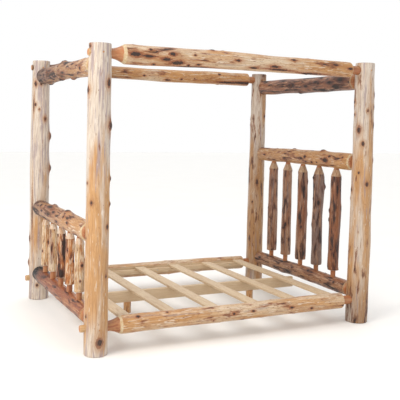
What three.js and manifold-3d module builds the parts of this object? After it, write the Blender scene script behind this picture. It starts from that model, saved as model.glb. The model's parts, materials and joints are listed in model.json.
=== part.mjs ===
// A four-poster canopy bed frame of peeled cedar logs, for a 60 x 80 inch box spring and mattress.
// Millimetres, +Z up, +Y from the foot to the head, +X to the right of someone who looks that way.
// Round tenons on the rails and spindles fit bored mortises, and the side rails' tenons run through the foot
// posts. The slats lie on ledgers and a centre beam with two legs.
import * as THREE from "three";
import { mergeVertices } from "three/addons/utils/BufferGeometryUtils.js";
import Module from "manifold-3d";

const wasm = await Module();
wasm.setup();

// Overall sizes, between the post axes.
const frameWidth = 1645;
const frameLength = 2200;
const postHeight = 2080;

// Logs: radius at the butt or first end, and at the other end.
const posts = {
  foot_right: { x: 1, y: -1, radii: [82, 74], seed: 1 },
  foot_left: { x: -1, y: -1, radii: [86, 74], seed: 2 },
  head_right: { x: 1, y: 1, radii: [87, 77], seed: 3 },
  head_left: { x: -1, y: 1, radii: [84, 74], seed: 4 },
};
const canopySideRadii = { right: [67, 59], left: [54, 62] };
const canopyFootRadii = [65, 63];
const canopyHeadRadii = [68, 66];
const boardTopRadii = [64, 66];
const boardBottomRadii = [61, 58];
const sideRailRadii = [63, 61];
const canopySideSeeds = { right: 5, left: 4 };
const sideRailSeeds = { right: 8, left: 7 };
const canopyEndSeeds = { foot: 9, head: 12 };
const boardSeeds = { foot: 15, head: 18 };
const bottomRailSeedStep = 6;
const spindleSeedStart = 12;
const spindleSeedStep = 3;
const footSpindleRadius = 37;
const headSpindleRadius = 47;
const spindleTaper = 3;

// Long waves in a log's skin: their height as a share of its radius, the lobes round it, the length along it
// that turns them by one radian, and how far a log's seed shifts them.
const skinWaves = [
  { share: 0.014, lobes: 2, length: 530, shift: 1.7 },
  { share: 0.009, lobes: 3, length: -290, shift: 2.9 },
  { share: 0.011, lobes: 0, length: 150, shift: 4.1 },
];

// Round mortise and tenon joints.
const tenonRadius = 24;
const neckRadius = 34;
const tenonPastAxis = 30;
const seatDepth = 10;
const spindleTenonRadius = 21;
const spindleTenonDepth = 38;
const canopyTail = 9;
const sideRailTail = 31;
const tenonChamfer = 3;

// The turned shoulders: the length of bare neck outside the post or rail, the run from the neck out to the
// log's own radius, and that run's shape, which is hollow above 1, straight at 1 and rounded below 1.
const hollowShoulder = { neck: 2, run: 90, power: 1.7, steps: 3 };
const squareShoulders = {
  right: { neck: 78, run: 8, power: 1, steps: 1 },
  left: { neck: 62, run: 8, power: 1, steps: 1 },
};
const roundShoulder = { neck: 7, run: 26, power: 0.5, steps: 2 };
const footSpindleShoulders = {
  low: { neck: 50, run: 6, power: 1, steps: 1 },
  high: { neck: 4, run: 44, power: 1, steps: 1 },
};
const headSpindleShoulders = {
  low: { neck: 46, run: 6, power: 1, steps: 1 },
  high: { neck: 4, run: 62, power: 1, steps: 1 },
};

// Heights of the log axes.
const mortiseWeb = 10;
const canopyMortiseWeb = 30;
const sideRailHeight = 183;
const bottomRailHeight = sideRailHeight + 2 * tenonRadius + mortiseWeb;
const footTopRailHeight = 813;
const headTopRailHeight = 1286;
const canopySideDrop = 61;
const canopySideHeight = postHeight - canopySideDrop;
const canopyEndHeight = canopySideHeight - 2 * tenonRadius - canopyMortiseWeb;

// The footboard stands a little outside the post axes, which gives the mattress room.
const footboardOffset = 22;
const spindleCount = 5;
const spindleSpacing = 247;

// The slatted base.
const railFlatDepth = 14;
const ledgerSize = 38;
const slatCount = 6;
const slatWidth = 89;
const slatThickness = 19;
const slatEndRoom = 3;
const slatInset = 12;
const beamWidth = 38;
const beamHeight = 89;
const beamEndRoom = 25;
const legRadius = 30;
const legShare = 0.26;

// Levelling glides under the centre legs.
const glideGap = 12;
const glidePadRadius = 17;
const glidePadHeight = 8;
const glidePadEase = 2;
const glidePadCrown = 3;
const studRadius = 4;
const studLength = 42;
const studPoint = 1;
const studRoom = 1;
const insertFlangeRadius = 11;
const insertFlangeHeight = 2;
const insertBarrelRadius = 6.5;
const insertBarrelHeight = 15;

// Pegs that lock the lengthwise tenons, and the ledgers' screws.
const pegRadius = 6;
const pegRecess = 2;
const pegChamfer = 1.5;
const ledgerScrewCount = 3;
const ledgerScrewSpread = 0.42;
const ledgerScrewRadius = 2.5;
const ledgerScrewHeadRadius = 5.5;
const ledgerScrewHeadHeight = 3;
const ledgerScrewBite = 30;
const ledgerScrewPoint = 7.5;

// Clearances.
const fitGap = 0.4;
const runningGap = 0.3;
const seatRoom = 2;

// How finely the round pieces are cut.
const postSides = 16;
const railSides = 14;
const spindleSides = 10;
const smallSides = 8;
const boreSides = 12;
const stationStep = 400;
const weldDistance = 1e-3;

const halfWidth = frameWidth / 2;
const halfLength = frameLength / 2;
const thickestButt = Math.max(...Object.values(posts).map((post) => post.radii[0]));
const ledgerTop = sideRailHeight + ledgerSize / 2;
const slatBottom = ledgerTop + fitGap;
const beamTop = slatBottom - fitGap;
const beamBottom = beamTop - beamHeight;
const legTop = beamBottom - fitGap;
const legBottom = glidePadHeight + glideGap + insertFlangeHeight;
const flatFromAxis = Math.min(...sideRailRadii) - railFlatDepth;

const logMaterial = (color) => new THREE.MeshStandardMaterial({ color, roughness: 0.5, metalness: 0 });
const materials = {
  post: logMaterial(0xdcb98a),
  rail: logMaterial(0xc8935a),
  spindle: logMaterial(0xbd8450),
  milled: new THREE.MeshStandardMaterial({ color: 0xe0c79a, roughness: 0.65, metalness: 0 }),
  steel: new THREE.MeshStandardMaterial({ color: 0x9a9a96, roughness: 0.4, metalness: 1 }),
  plastic: new THREE.MeshStandardMaterial({ color: 0x26221f, roughness: 0.6, metalness: 0 }),
};

const bed = new THREE.Group();

// ---- solids ----

function toSolid(geometry) {
  const bare = geometry.clone();
  bare.deleteAttribute("normal");
  bare.deleteAttribute("uv");
  const merged = mergeVertices(bare, weldDistance);
  return new wasm.Manifold(
    new wasm.Mesh({
      numProp: 3,
      vertProperties: new Float32Array(merged.attributes.position.array),
      triVerts: new Uint32Array(merged.index.array),
    }),
  );
}

function toGeometry(solid) {
  const mesh = solid.getMesh();
  const geometry = new THREE.BufferGeometry();
  const positions = new Float32Array(mesh.vertProperties);
  geometry.setAttribute("position", new THREE.BufferAttribute(positions, 3));
  geometry.setIndex(new THREE.BufferAttribute(new Uint32Array(mesh.triVerts), 1));
  geometry.computeVertexNormals();
  return geometry;
}

// A geometry with other geometries cut out of it, all in the same frame.
function cut(geometry, cutters) {
  const solid = cutters.reduce((left, cutter) => left.subtract(toSolid(cutter)), toSolid(geometry));
  return toGeometry(solid);
}

function addPiece(name, geometry, material, position = [0, 0, 0]) {
  const mesh = new THREE.Mesh(geometry, material);
  mesh.name = name;
  mesh.position.set(...position);
  bed.add(mesh);
}

// The rotation that carries +Z onto each axis.
const turns = {
  "+z": new THREE.Matrix4(),
  "-z": new THREE.Matrix4().makeRotationX(Math.PI),
  "+x": new THREE.Matrix4().makeRotationY(Math.PI / 2),
  "-x": new THREE.Matrix4().makeRotationY(-Math.PI / 2),
  "+y": new THREE.Matrix4().makeRotationX(-Math.PI / 2),
  "-y": new THREE.Matrix4().makeRotationX(Math.PI / 2),
};

function place(geometry, axis, [x, y, z]) {
  return geometry.applyMatrix4(turns[axis]).translate(x, y, z);
}

// A profile of [radius, height] pairs turned about +Z; it starts and ends on the axis.
function turned(profile, sides) {
  const points = profile.map(([radius, height]) => new THREE.Vector2(radius, height));
  return new THREE.LatheGeometry(points, sides).rotateX(Math.PI / 2);
}

// A round cutter whose flats, not its corners, stand at the radius.
function bore(radius, length, axis, start, sides = boreSides) {
  const outer = radius / Math.cos(Math.PI / sides);
  return place(turned([[0, 0], [outer, 0], [outer, length], [0, length]], sides), axis, start);
}

function board(sizeX, sizeY, sizeZ) {
  return new THREE.BoxGeometry(sizeX, sizeY, sizeZ);
}

// ---- logs ----

// How far a log's skin stands from a true circle, as a share of its radius.
function waviness(angle, height, seed) {
  const phase = (wave) => wave.lobes * angle + wave.shift * seed + height / wave.length;
  return skinWaves.reduce((sum, wave) => sum + wave.share * Math.sin(phase(wave)), 0);
}

// One end of a rail or spindle: tenon, neck and the turned shoulder out to the log's own radius.
// Distances run from the tenon's tip into the log.
function endStations(end, logRadius) {
  const { tenonRadius: tenon, tenonLength, neckRadius: neck, neckLength, shoulder } = end;
  const stations = [
    [0, 0],
    [tenon - tenonChamfer, 0],
    [tenon, tenonChamfer],
  ];
  if (neck > tenon) stations.push([tenon, tenonLength], [neck, tenonLength]);
  const root = tenonLength + neckLength;
  stations.push([neck, root]);
  for (let step = 1; step <= shoulder.steps; step++) {
    const share = step / shoulder.steps;
    stations.push([neck + (logRadius - neck) * share ** shoulder.power, root + shoulder.run * share]);
  }
  return stations;
}

// A log along +Z from its low end at 0, with a tenoned end or, where the end is null, a sawn one.
function log({ length, radii, lowEnd = null, highEnd = null, sides, seed }) {
  const low = lowEnd ? endStations(lowEnd, radii[0]) : [[0, 0], [radii[0], 0]];
  const high = highEnd ? endStations(highEnd, radii[1]) : [[0, 0], [radii[1], 0]];
  const bodyLow = low.at(-1)[1];
  const bodyHigh = length - high.at(-1)[1];
  const radiusAt = (height) => THREE.MathUtils.mapLinear(height, bodyLow, bodyHigh, ...radii);
  const steps = Math.max(2, Math.round((bodyHigh - bodyLow) / stationStep));
  const body = [];
  for (let step = 1; step < steps; step++) {
    const height = bodyLow + ((bodyHigh - bodyLow) * step) / steps;
    body.push([radiusAt(height), height]);
  }
  const top = high.map(([radius, fromTip]) => [radius, length - fromTip]).reverse();
  const geometry = turned([...low, ...body, ...top], sides);
  // The waves fade out down each shoulder, so that tenons and necks stay round.
  const fade = (height, end, from) => {
    if (!end) return 1;
    const root = end.tenonLength + end.neckLength;
    return THREE.MathUtils.smoothstep(Math.abs(height - from), root, root + end.shoulder.run);
  };
  const points = geometry.attributes.position;
  for (let i = 0; i < points.count; i++) {
    const [x, y, z] = [points.getX(i), points.getY(i), points.getZ(i)];
    const share = fade(z, lowEnd, 0) * fade(z, highEnd, length);
    const scale = 1 + share * waviness(Math.atan2(y, x), z, seed);
    points.setXYZ(i, x * scale, y * scale, z);
  }
  return geometry;
}

// ---- posts and what enters them ----

const postRadiusAt = (post, height) => THREE.MathUtils.lerp(...post.radii, height / postHeight);

// The flat bottom of the seat that a rail's neck stands in, measured from the post's axis.
const seatAt = (post, height) => postRadiusAt(post, height) - seatDepth;

function railMortise(post, height, axis, [offsetX, offsetY], through) {
  const seat = seatAt(post, height);
  const start = { "+x": [1, 0], "-x": [-1, 0], "+y": [0, 1], "-y": [0, -1] }[axis];
  const reach = tenonPastAxis + fitGap;
  const back = through ? 2 * postRadiusAt(post, height) : reach;
  const socketStart = [offsetX - start[0] * back, offsetY - start[1] * back, height];
  const seatStart = [offsetX + start[0] * seat, offsetY + start[1] * seat, height];
  return [
    bore(tenonRadius + fitGap, back + seat + fitGap, axis, socketStart),
    bore(neckRadius + seatRoom, 3 * seatDepth, axis, seatStart),
  ];
}

// The hole of a peg that runs along X through a post's axis and the tenon that crosses it.
function pegHole(height, [x, y] = [0, 0]) {
  const reach = 2 * thickestButt;
  return bore(pegRadius + fitGap, 2 * reach, "+x", [x - reach, y, height], smallSides);
}

// Which way a post's neighbours lie: across the bed, and along it.
const inwardX = (post) => (post.x > 0 ? "-x" : "+x");
const inwardY = (post) => (post.y > 0 ? "-y" : "+y");
const boardOffset = (post) => (post.y < 0 ? -footboardOffset : 0);
const boardTopHeight = (post) => (post.y < 0 ? footTopRailHeight : headTopRailHeight);

function makePost(name, post) {
  const blank = log({ length: postHeight, radii: post.radii, sides: postSides, seed: post.seed });
  const atFoot = post.y < 0;
  const cutters = [
    ...railMortise(post, sideRailHeight, inwardY(post), [0, 0], atFoot),
    ...railMortise(post, canopySideHeight, inwardY(post), [0, 0], atFoot),
    ...railMortise(post, canopyEndHeight, inwardX(post), [0, 0], false),
    ...railMortise(post, bottomRailHeight, inwardX(post), [0, boardOffset(post)], false),
    ...railMortise(post, boardTopHeight(post), inwardX(post), [0, boardOffset(post)], false),
    pegHole(sideRailHeight),
    pegHole(canopySideHeight),
  ];
  const position = [post.x * halfWidth, post.y * halfLength, 0];
  addPiece(`post_${name}`, cut(blank, cutters), materials.post, position);
}

// The end of a rail whose tenon reaches `tip` beyond the post's axis and whose neck stops on the post's seat.
function railEnd(post, height, tip, shoulder) {
  return {
    tenonRadius,
    tenonLength: tip + seatAt(post, height) + fitGap,
    neckRadius,
    neckLength: seatDepth + shoulder.neck,
    shoulder,
  };
}

// ---- rails along the bed ----

function sidePosts(side) {
  return { foot: posts[`foot_${side}`], head: posts[`head_${side}`] };
}

function lengthwiseRail(side, height, radii, tail, seed) {
  const { foot, head } = sidePosts(side);
  const tip = postRadiusAt(foot, height) + tail;
  const blank = log({
    length: tip + frameLength + tenonPastAxis,
    radii,
    lowEnd: railEnd(foot, height, tip, hollowShoulder),
    highEnd: railEnd(head, height, tenonPastAxis, squareShoulders[side]),
    sides: railSides,
    seed,
  });
  place(blank, "+y", [foot.x * halfWidth, -halfLength - tip, height]);
  const pegHoles = [foot, head].map((post) => pegHole(height, [post.x * halfWidth, post.y * halfLength]));
  return { blank, pegHoles };
}

function makeCanopySideRail(side) {
  const radii = canopySideRadii[side];
  const seed = canopySideSeeds[side];
  const { blank, pegHoles } = lengthwiseRail(side, canopySideHeight, radii, canopyTail, seed);
  addPiece(`canopy_side_rail_${side}`, cut(blank, pegHoles), materials.rail);
}

function ledgerScrewPlaces(length) {
  const spread = length * ledgerScrewSpread;
  const share = (i) => (2 * i) / (ledgerScrewCount - 1) - 1;
  return Array.from({ length: ledgerScrewCount }, (_, i) => spread * share(i));
}

const ledgerLength = frameLength - 2 * (thickestButt + hollowShoulder.neck + hollowShoulder.run);

function makeSideRail(side) {
  const sign = posts[`foot_${side}`].x;
  const seed = sideRailSeeds[side];
  const { blank, pegHoles } = lengthwiseRail(side, sideRailHeight, sideRailRadii, sideRailTail, seed);
  const depth = 2 * railFlatDepth;
  const flat = board(depth, ledgerLength + 2 * fitGap, 3 * Math.max(...sideRailRadii));
  flat.translate(sign * (halfWidth - flatFromAxis - depth / 2), 0, sideRailHeight);
  const screwHoles = ledgerScrewPlaces(ledgerLength).map((y) =>
    bore(ledgerScrewRadius + fitGap, ledgerScrewBite + fitGap, sign > 0 ? "+x" : "-x",
      [sign * (halfWidth - flatFromAxis - fitGap), y, sideRailHeight], smallSides));
  addPiece(`side_rail_${side}`, cut(blank, [...pegHoles, flat, ...screwHoles]), materials.rail);
}

// ---- rails across the bed ----

function crosswiseRail(end, height, radii, offsetY, seed) {
  const left = posts[`${end}_left`];
  const right = posts[`${end}_right`];
  const blank = log({
    length: frameWidth + 2 * tenonPastAxis,
    radii,
    lowEnd: railEnd(left, height, tenonPastAxis, roundShoulder),
    highEnd: railEnd(right, height, tenonPastAxis, roundShoulder),
    sides: railSides,
    seed,
  });
  return place(blank, "+x", [-halfWidth - tenonPastAxis, left.y * halfLength + offsetY, height]);
}

function makeCanopyEndRail(end) {
  const radii = end === "foot" ? canopyFootRadii : canopyHeadRadii;
  const rail = crosswiseRail(end, canopyEndHeight, radii, 0, canopyEndSeeds[end]);
  addPiece(`canopy_${end}_rail`, rail, materials.rail);
}

// ---- headboard and footboard ----

const spindlePlace = (i) => (i - (spindleCount - 1) / 2) * spindleSpacing;
const spindlePlaces = Array.from({ length: spindleCount }, (_, i) => spindlePlace(i));

// A crosswise rail's radius above the middle of a spindle.
function railRadiusAt(radii, x) {
  return THREE.MathUtils.mapLinear(x, -halfWidth, halfWidth, ...radii);
}

// Where a spindle's tenons enter the two rails.
function spindleSpan(topHeight, x) {
  return {
    low: bottomRailHeight + railRadiusAt(boardBottomRadii, x),
    high: topHeight - railRadiusAt(boardTopRadii, x),
  };
}

function spindleEnd(shoulder) {
  return {
    tenonRadius: spindleTenonRadius,
    tenonLength: spindleTenonDepth,
    neckRadius: spindleTenonRadius,
    neckLength: shoulder.neck,
    shoulder,
  };
}

function makeBoard(end, { topHeight, offsetY, spindleRadius, shoulders, seed }) {
  const y = (end === "foot" ? -1 : 1) * halfLength + offsetY;
  const depth = spindleTenonDepth + fitGap;
  const sockets = (axis) =>
    spindlePlaces.map((x) => {
      const span = spindleSpan(topHeight, x);
      const [mouth, outwards] = axis === "+z" ? [span.high, -seatDepth] : [span.low, seatDepth];
      return bore(spindleTenonRadius + fitGap, depth + seatDepth, axis, [x, y, mouth + outwards], boreSides);
    });
  const top = cut(crosswiseRail(end, topHeight, boardTopRadii, offsetY, seed), sockets("+z"));
  const bottomSeed = seed + bottomRailSeedStep;
  const bottomLog = crosswiseRail(end, bottomRailHeight, boardBottomRadii, offsetY, bottomSeed);
  const bottom = cut(bottomLog, sockets("-z"));
  addPiece(`${end}board_top_rail`, top, materials.rail);
  addPiece(`${end}board_bottom_rail`, bottom, materials.rail);
  spindlePlaces.forEach((x, i) => {
    const span = spindleSpan(topHeight, x);
    const spindle = log({
      length: span.high - span.low + 2 * spindleTenonDepth,
      radii: [spindleRadius, spindleRadius - spindleTaper],
      lowEnd: spindleEnd(shoulders.low),
      highEnd: spindleEnd(shoulders.high),
      sides: spindleSides,
      seed: seed + spindleSeedStart + spindleSeedStep * i,
    });
    const position = [x, y, span.low - spindleTenonDepth];
    addPiece(`${end}board_spindle_${i + 1}`, spindle, materials.spindle, position);
  });
}

// ---- slatted base ----

function makeLedger(side) {
  const sign = posts[`foot_${side}`].x;
  const x = sign * (halfWidth - flatFromAxis - fitGap - ledgerSize / 2);
  const blank = board(ledgerSize, ledgerLength, ledgerSize).translate(x, 0, sideRailHeight);
  const towards = sign > 0 ? "+x" : "-x";
  const innerFace = x - (sign * ledgerSize) / 2;
  const holes = ledgerScrewPlaces(ledgerLength).flatMap((y) => [
    bore(ledgerScrewRadius + fitGap, 2 * ledgerSize, towards, [innerFace, y, sideRailHeight], smallSides),
    bore(ledgerScrewHeadRadius + fitGap, 2 * ledgerScrewHeadHeight, towards,
      [innerFace - sign * (ledgerScrewHeadHeight - fitGap), y, sideRailHeight], smallSides),
  ]);
  addPiece(`ledger_${side}`, cut(blank, holes), materials.milled);
  ledgerScrewPlaces(ledgerLength).forEach((y, i) => {
    const length = ledgerSize + ledgerScrewBite;
    const screw = turned([
      [0, 0],
      [ledgerScrewHeadRadius, 0],
      [ledgerScrewHeadRadius, ledgerScrewHeadHeight / 2],
      [ledgerScrewRadius, ledgerScrewHeadHeight],
      [ledgerScrewRadius, length - ledgerScrewPoint],
      [0, length],
    ], smallSides);
    place(screw, towards, [innerFace, y, sideRailHeight]);
    addPiece(`ledger_screw_${side}_${i + 1}`, screw, materials.steel);
  });
}

const slatLength = 2 * (halfWidth - flatFromAxis - slatEndRoom);
const slatSpan = ledgerLength - slatWidth - 2 * slatInset;

function makeSlat(i) {
  const y = -slatSpan / 2 + (slatSpan * i) / (slatCount - 1);
  addPiece(`slat_${i + 1}`, board(slatLength, slatWidth, slatThickness), materials.milled,
    [0, y, slatBottom + slatThickness / 2]);
}

function makeCentreBeam() {
  const length = frameLength - 2 * (Math.max(...boardBottomRadii) + beamEndRoom);
  const position = [0, 0, beamBottom + beamHeight / 2];
  addPiece("centre_beam", board(beamWidth, length, beamHeight), materials.milled, position);
}

function makeCentreLeg(name, y) {
  const height = legTop - legBottom;
  const blank = turned([[0, 0], [legRadius, 0], [legRadius, height], [0, height]], spindleSides);
  const cutters = [
    bore(insertBarrelRadius + fitGap, insertBarrelHeight + fitGap, "+z", [0, 0, -fitGap], smallSides),
    bore(studRadius + studRoom, studLength, "+z", [0, 0, -fitGap], smallSides),
  ];
  addPiece(`centre_leg_${name}`, cut(blank, cutters), materials.milled, [0, y, legBottom]);
}

function makeInsert(name, y) {
  const blank = turned([
    [0, 0],
    [insertFlangeRadius, 0],
    [insertFlangeRadius, insertFlangeHeight - fitGap],
    [insertBarrelRadius, insertFlangeHeight - fitGap],
    [insertBarrelRadius, insertFlangeHeight + insertBarrelHeight - fitGap],
    [0, insertFlangeHeight + insertBarrelHeight - fitGap],
  ], smallSides);
  const threadRadius = studRadius + runningGap;
  const thread = bore(threadRadius, 2 * insertBarrelHeight, "+z", [0, 0, -insertFlangeHeight], smallSides);
  const position = [0, y, legBottom - insertFlangeHeight];
  addPiece(`threaded_insert_${name}`, cut(blank, [thread]), materials.steel, position);
}

function makeGlide(name, y) {
  const glide = turned([
    [0, 0],
    [glidePadRadius - glidePadEase, 0],
    [glidePadRadius, glidePadEase],
    [glidePadRadius, glidePadHeight - glidePadEase],
    [glidePadRadius - glidePadCrown, glidePadHeight],
    [studRadius, glidePadHeight],
    [studRadius, glidePadHeight + studLength - studPoint],
    [0, glidePadHeight + studLength],
  ], smallSides);
  addPiece(`levelling_glide_${name}`, glide, materials.plastic, [0, y, 0]);
}

// ---- pegs that lock the lengthwise tenons ----

function makePeg(name, post, height) {
  const half = postRadiusAt(post, height) - pegRecess;
  const peg = turned([
    [0, -half],
    [pegRadius - pegChamfer, -half],
    [pegRadius, pegChamfer - half],
    [pegRadius, half - pegChamfer],
    [pegRadius - pegChamfer, half],
    [0, half],
  ], smallSides);
  const position = [post.x * halfWidth, post.y * halfLength, height];
  addPiece(name, place(peg, "+x", [0, 0, 0]), materials.spindle, position);
}

// ---- the whole frame ----

for (const [name, post] of Object.entries(posts)) {
  makePost(name, post);
  makePeg(`side_rail_peg_${name}`, post, sideRailHeight);
  makePeg(`canopy_peg_${name}`, post, canopySideHeight);
}
for (const side of ["right", "left"]) {
  makeCanopySideRail(side);
  makeSideRail(side);
  makeLedger(side);
}
makeCanopyEndRail("foot");
makeCanopyEndRail("head");
makeBoard("foot", {
  topHeight: footTopRailHeight,
  offsetY: -footboardOffset,
  spindleRadius: footSpindleRadius,
  shoulders: footSpindleShoulders,
  seed: boardSeeds.foot,
});
makeBoard("head", {
  topHeight: headTopRailHeight,
  offsetY: 0,
  spindleRadius: headSpindleRadius,
  shoulders: headSpindleShoulders,
  seed: boardSeeds.head,
});
for (let i = 0; i < slatCount; i++) makeSlat(i);
makeCentreBeam();
for (const [name, sign] of [["foot", -1], ["head", 1]]) {
  const y = sign * frameLength * legShare;
  makeCentreLeg(name, y);
  makeInsert(name, y);
  makeGlide(name, y);
}

// The origin is on the floor, at the middle of the whole frame's outline.
const outline = new THREE.Box3().setFromObject(bed);
const middle = outline.getCenter(new THREE.Vector3());
bed.position.set(-middle.x, -middle.y, -outline.min.z);

export default bed;
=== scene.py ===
import json
import math

import bmesh
import bpy
import numpy as np
from mathutils import Matrix, Vector


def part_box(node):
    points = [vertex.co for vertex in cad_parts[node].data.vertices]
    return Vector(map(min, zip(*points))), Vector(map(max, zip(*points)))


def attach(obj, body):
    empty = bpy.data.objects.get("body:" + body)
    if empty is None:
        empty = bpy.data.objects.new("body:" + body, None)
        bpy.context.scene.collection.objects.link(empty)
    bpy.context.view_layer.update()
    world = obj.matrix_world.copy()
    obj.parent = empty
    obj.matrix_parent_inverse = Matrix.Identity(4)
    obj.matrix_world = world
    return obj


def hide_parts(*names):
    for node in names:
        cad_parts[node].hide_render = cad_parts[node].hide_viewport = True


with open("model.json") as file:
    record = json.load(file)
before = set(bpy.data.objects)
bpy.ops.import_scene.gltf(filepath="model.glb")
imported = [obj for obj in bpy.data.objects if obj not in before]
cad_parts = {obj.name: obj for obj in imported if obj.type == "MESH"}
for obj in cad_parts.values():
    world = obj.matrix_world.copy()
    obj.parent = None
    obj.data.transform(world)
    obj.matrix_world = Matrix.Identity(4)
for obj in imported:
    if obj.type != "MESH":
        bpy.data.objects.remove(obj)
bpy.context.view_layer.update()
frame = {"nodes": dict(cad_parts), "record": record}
bodyOf = {node: body for body, nodes in frame["record"]["behaviour"]["bodies"].items() for node in nodes}
print("frame loaded")


def hexToLinear(code):
    values = [int(code[i:i + 2], 16) / 255 for i in (1, 3, 5)]
    return (*(v / 12.92 if v <= 0.04045 else ((v + 0.055) / 1.055) ** 2.4 for v in values), 1.0)


def addNode(tree, kind, settings, out=0):
    # each setting is a property, a socket's value, or another node's output to link in; gives back one output
    node = tree.nodes.new("ShaderNode" + kind)
    for key, value in settings.items():
        if isinstance(key, str) and key not in node.inputs:
            setattr(node, key, value)
        elif isinstance(value, bpy.types.NodeSocket):
            tree.links.new(value, node.inputs[key])
        else:
            node.inputs[key].default_value = hexToLinear(value) if isinstance(value, str) else value
    return node.outputs[out] if len(node.outputs) else None


def newMaterial(name):
    material = bpy.data.materials.new(name)
    material.use_nodes = True
    material.node_tree.nodes.clear()
    return material, material.node_tree


def addPatterns(tree, place, patterns):
    # noises whose cells are millimetres wide across and along the grain; the seed moves each to its own spot
    made = {}
    for name, (across, along, seed, settings) in patterns.items():
        cells = {"operation": "MULTIPLY_ADD", 0: place, 1: (1000 / across, 1000 / across, 1000 / along),
                 2: (seed, seed * 0.7, seed * 1.3)}
        cells = addNode(tree, "VectorMath", cells)
        made[name] = addNode(tree, "TexNoise", {"Scale": 1.0, **settings, "Vector": cells})
    return made


def addLayers(tree, colour, layers):
    # paints each colour over the last where its driver runs from low to high, and gives back their shares
    shares = {}
    for name, driver, low, high, strength, paint in layers:
        shares[name] = addNode(tree, "MapRange", {"interpolation_type": "SMOOTHSTEP", "Value": driver,
                                                  "From Min": low, "From Max": high, "To Max": strength})
        blend = "MULTIPLY" if name == "fibres" else "MIX"  # fine fibres darken what is under them
        colour = addNode(tree, "Mix", {"data_type": "RGBA", "blend_type": blend, 0: shares[name], 6: colour,
                                       7: paint}, 2)
    return colour, shares


# Hand-peeled white cedar under a clear satin varnish. The eye sees cream sapwood with honey and tan streaks,
# cool ash-coloured ones, red-brown inner bark left in the hollows, and dark knots.
# Each log carries its own coordinates: logPlace is across, across and along it in metres from its butt,
# logTone is how much honey, darkening and bark it has there (the darkening is darker wood, and painted shade
# where rails meet the shadowed foot-left post), knotNear the distance to the nearest knot in knot radii, and
# rimNear the distance in from a turned shoulder.
skinLooks = {
    "posts": {
        "name": "cedarPeeledVarnishedPost",
        "cream": "#D9CCBD", "honey": "#C99A66", "tan": "#A9784A", "innerBark": "#87563A", "bark": "#46312A",
        "ash": "#A8979A", "pale": "#E4DBCE", "ashShare": 0.58, "honeyShare": 0.42, "barkShare": 0.24,
        "fleckShare": 0.40, "streaks": 0.38, "slivers": 0.45, "sapBand": 0.018, "sap": ("#DCCDB0", "#C9AC82"),
    },
    "rails": {
        "name": "cedarPeeledVarnishedRail",
        "cream": "#D6BE9F", "honey": "#C4925A", "tan": "#A87143", "innerBark": "#874C2B", "bark": "#37261F",
        "ash": "#A99385", "pale": "#E2D3BE", "ashShare": 0.44, "honeyShare": 0.58, "barkShare": 0.42,
        "fleckShare": 0.56, "streaks": 0.55, "slivers": 0.60, "sapBand": 0.013, "sap": ("#D0BF9E", "#BB9C72"),
    },
    "redRails": {
        "name": "cedarReddishVarnishedRail",
        "cream": "#B77645", "honey": "#9B5428", "tan": "#7C3D1F", "innerBark": "#5F301F", "bark": "#2E1F1A",
        "ash": "#80594A", "pale": "#CB9A6C", "ashShare": 0.30, "honeyShare": 0.66, "barkShare": 0.48,
        "fleckShare": 0.54, "streaks": 0.85, "slivers": 0.50, "sapBand": 0.010, "sap": ("#B9966E", "#9B6E48"),
    },
    "headRails": {
        "name": "cedarWeatheredVarnishedRail",
        "cream": "#A67A58", "honey": "#8E5835", "tan": "#683B25", "innerBark": "#4A2A1F", "bark": "#261B18",
        "ash": "#7A645D", "pale": "#BF9E80", "ashShare": 0.40, "honeyShare": 0.60, "barkShare": 0.56,
        "fleckShare": 0.56, "streaks": 0.80, "slivers": 0.62, "sapBand": 0.010, "sap": ("#B79A78", "#9A7650"),
    },
    "footSpindles": {
        "name": "cedarShavedVarnishedSpindle",
        "cream": "#D2AE80", "honey": "#C27F40", "tan": "#A05A2A", "innerBark": "#743C21", "bark": "#35221A",
        "ash": "#9C877B", "pale": "#E6D6BC", "ashShare": 0.40, "honeyShare": 0.60, "barkShare": 0.54,
        "fleckShare": 0.56, "streaks": 0.90, "slivers": 0.80, "sapBand": 0.044, "sap": ("#E0D2C0", "#C49A74"),
    },
    "headSpindles": {
        "name": "cedarWeatheredVarnishedSpindle",
        "cream": "#A57E62", "honey": "#905A38", "tan": "#6D3F27", "innerBark": "#502C20", "bark": "#2A1E1B",
        "ash": "#7D6963", "pale": "#B59A84", "ashShare": 0.52, "honeyShare": 0.55, "barkShare": 0.54,
        "fleckShare": 0.46, "streaks": 0.80, "slivers": 0.50, "sapBand": 0.044, "sap": ("#B99C7E", "#946E4E"),
    },
}
skinGrain = {                                       # mm across and along the grain, seed, noise settings
    "patch": (85, 600, 3.1, {"Detail": 3.0}),
    "streak": (12, 200, 7.7, {"Detail": 3.0, "Roughness": 0.6}),
    "ashStreak": (26, 380, 12.3, {"Detail": 3.0, "Roughness": 0.6}),
    "fine": (2.6, 85, 1.9, {"Roughness": 0.6}),
    "island": (34, 165, 5.3, {"Detail": 5.0, "Roughness": 0.6, "Distortion": 0.25}),
    "fleck": (5.5, 28, 9.4, {}),
    "sliver": (11, 75, 21.4, {"Roughness": 0.55}),
    "chip": (7, 16, 15.2, {}),
}
skinEdges = {                                       # the noise value for a share of 0, and its fall up to 1
    "honeyShare": (0.78, 0.50), "ashShare": (0.78, 0.34), "slivers": (0.80, 0.35), "barkShare": (0.84, 0.50),
    "fleckShare": (0.84, 0.42),
}
turnedLook = {                                      # the lathe-turned shoulders and tenons of every log
    "heart": "#B8764A", "redHeart": "#985A38", "paleHeart": "#C08F5E", "toolLine": "#6E3F26",
    "tenon": ("#CDAA7E", "#B98F60"), "toolPitch": 3.2, "toolDepth": 0.22, "tenonFrom": -0.054,
}
waveTurn = 6.28                                     # a wave texture's bands come out about two pitches wide
fibreShade = "#8C6A4A"                              # what fine grain is multiplied with
darkWoodAndPaintedShadeColour = "#5C3826"                        # what a log's darkening is multiplied with: darker wood, and painted shade where rails meet the foot-left post


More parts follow.
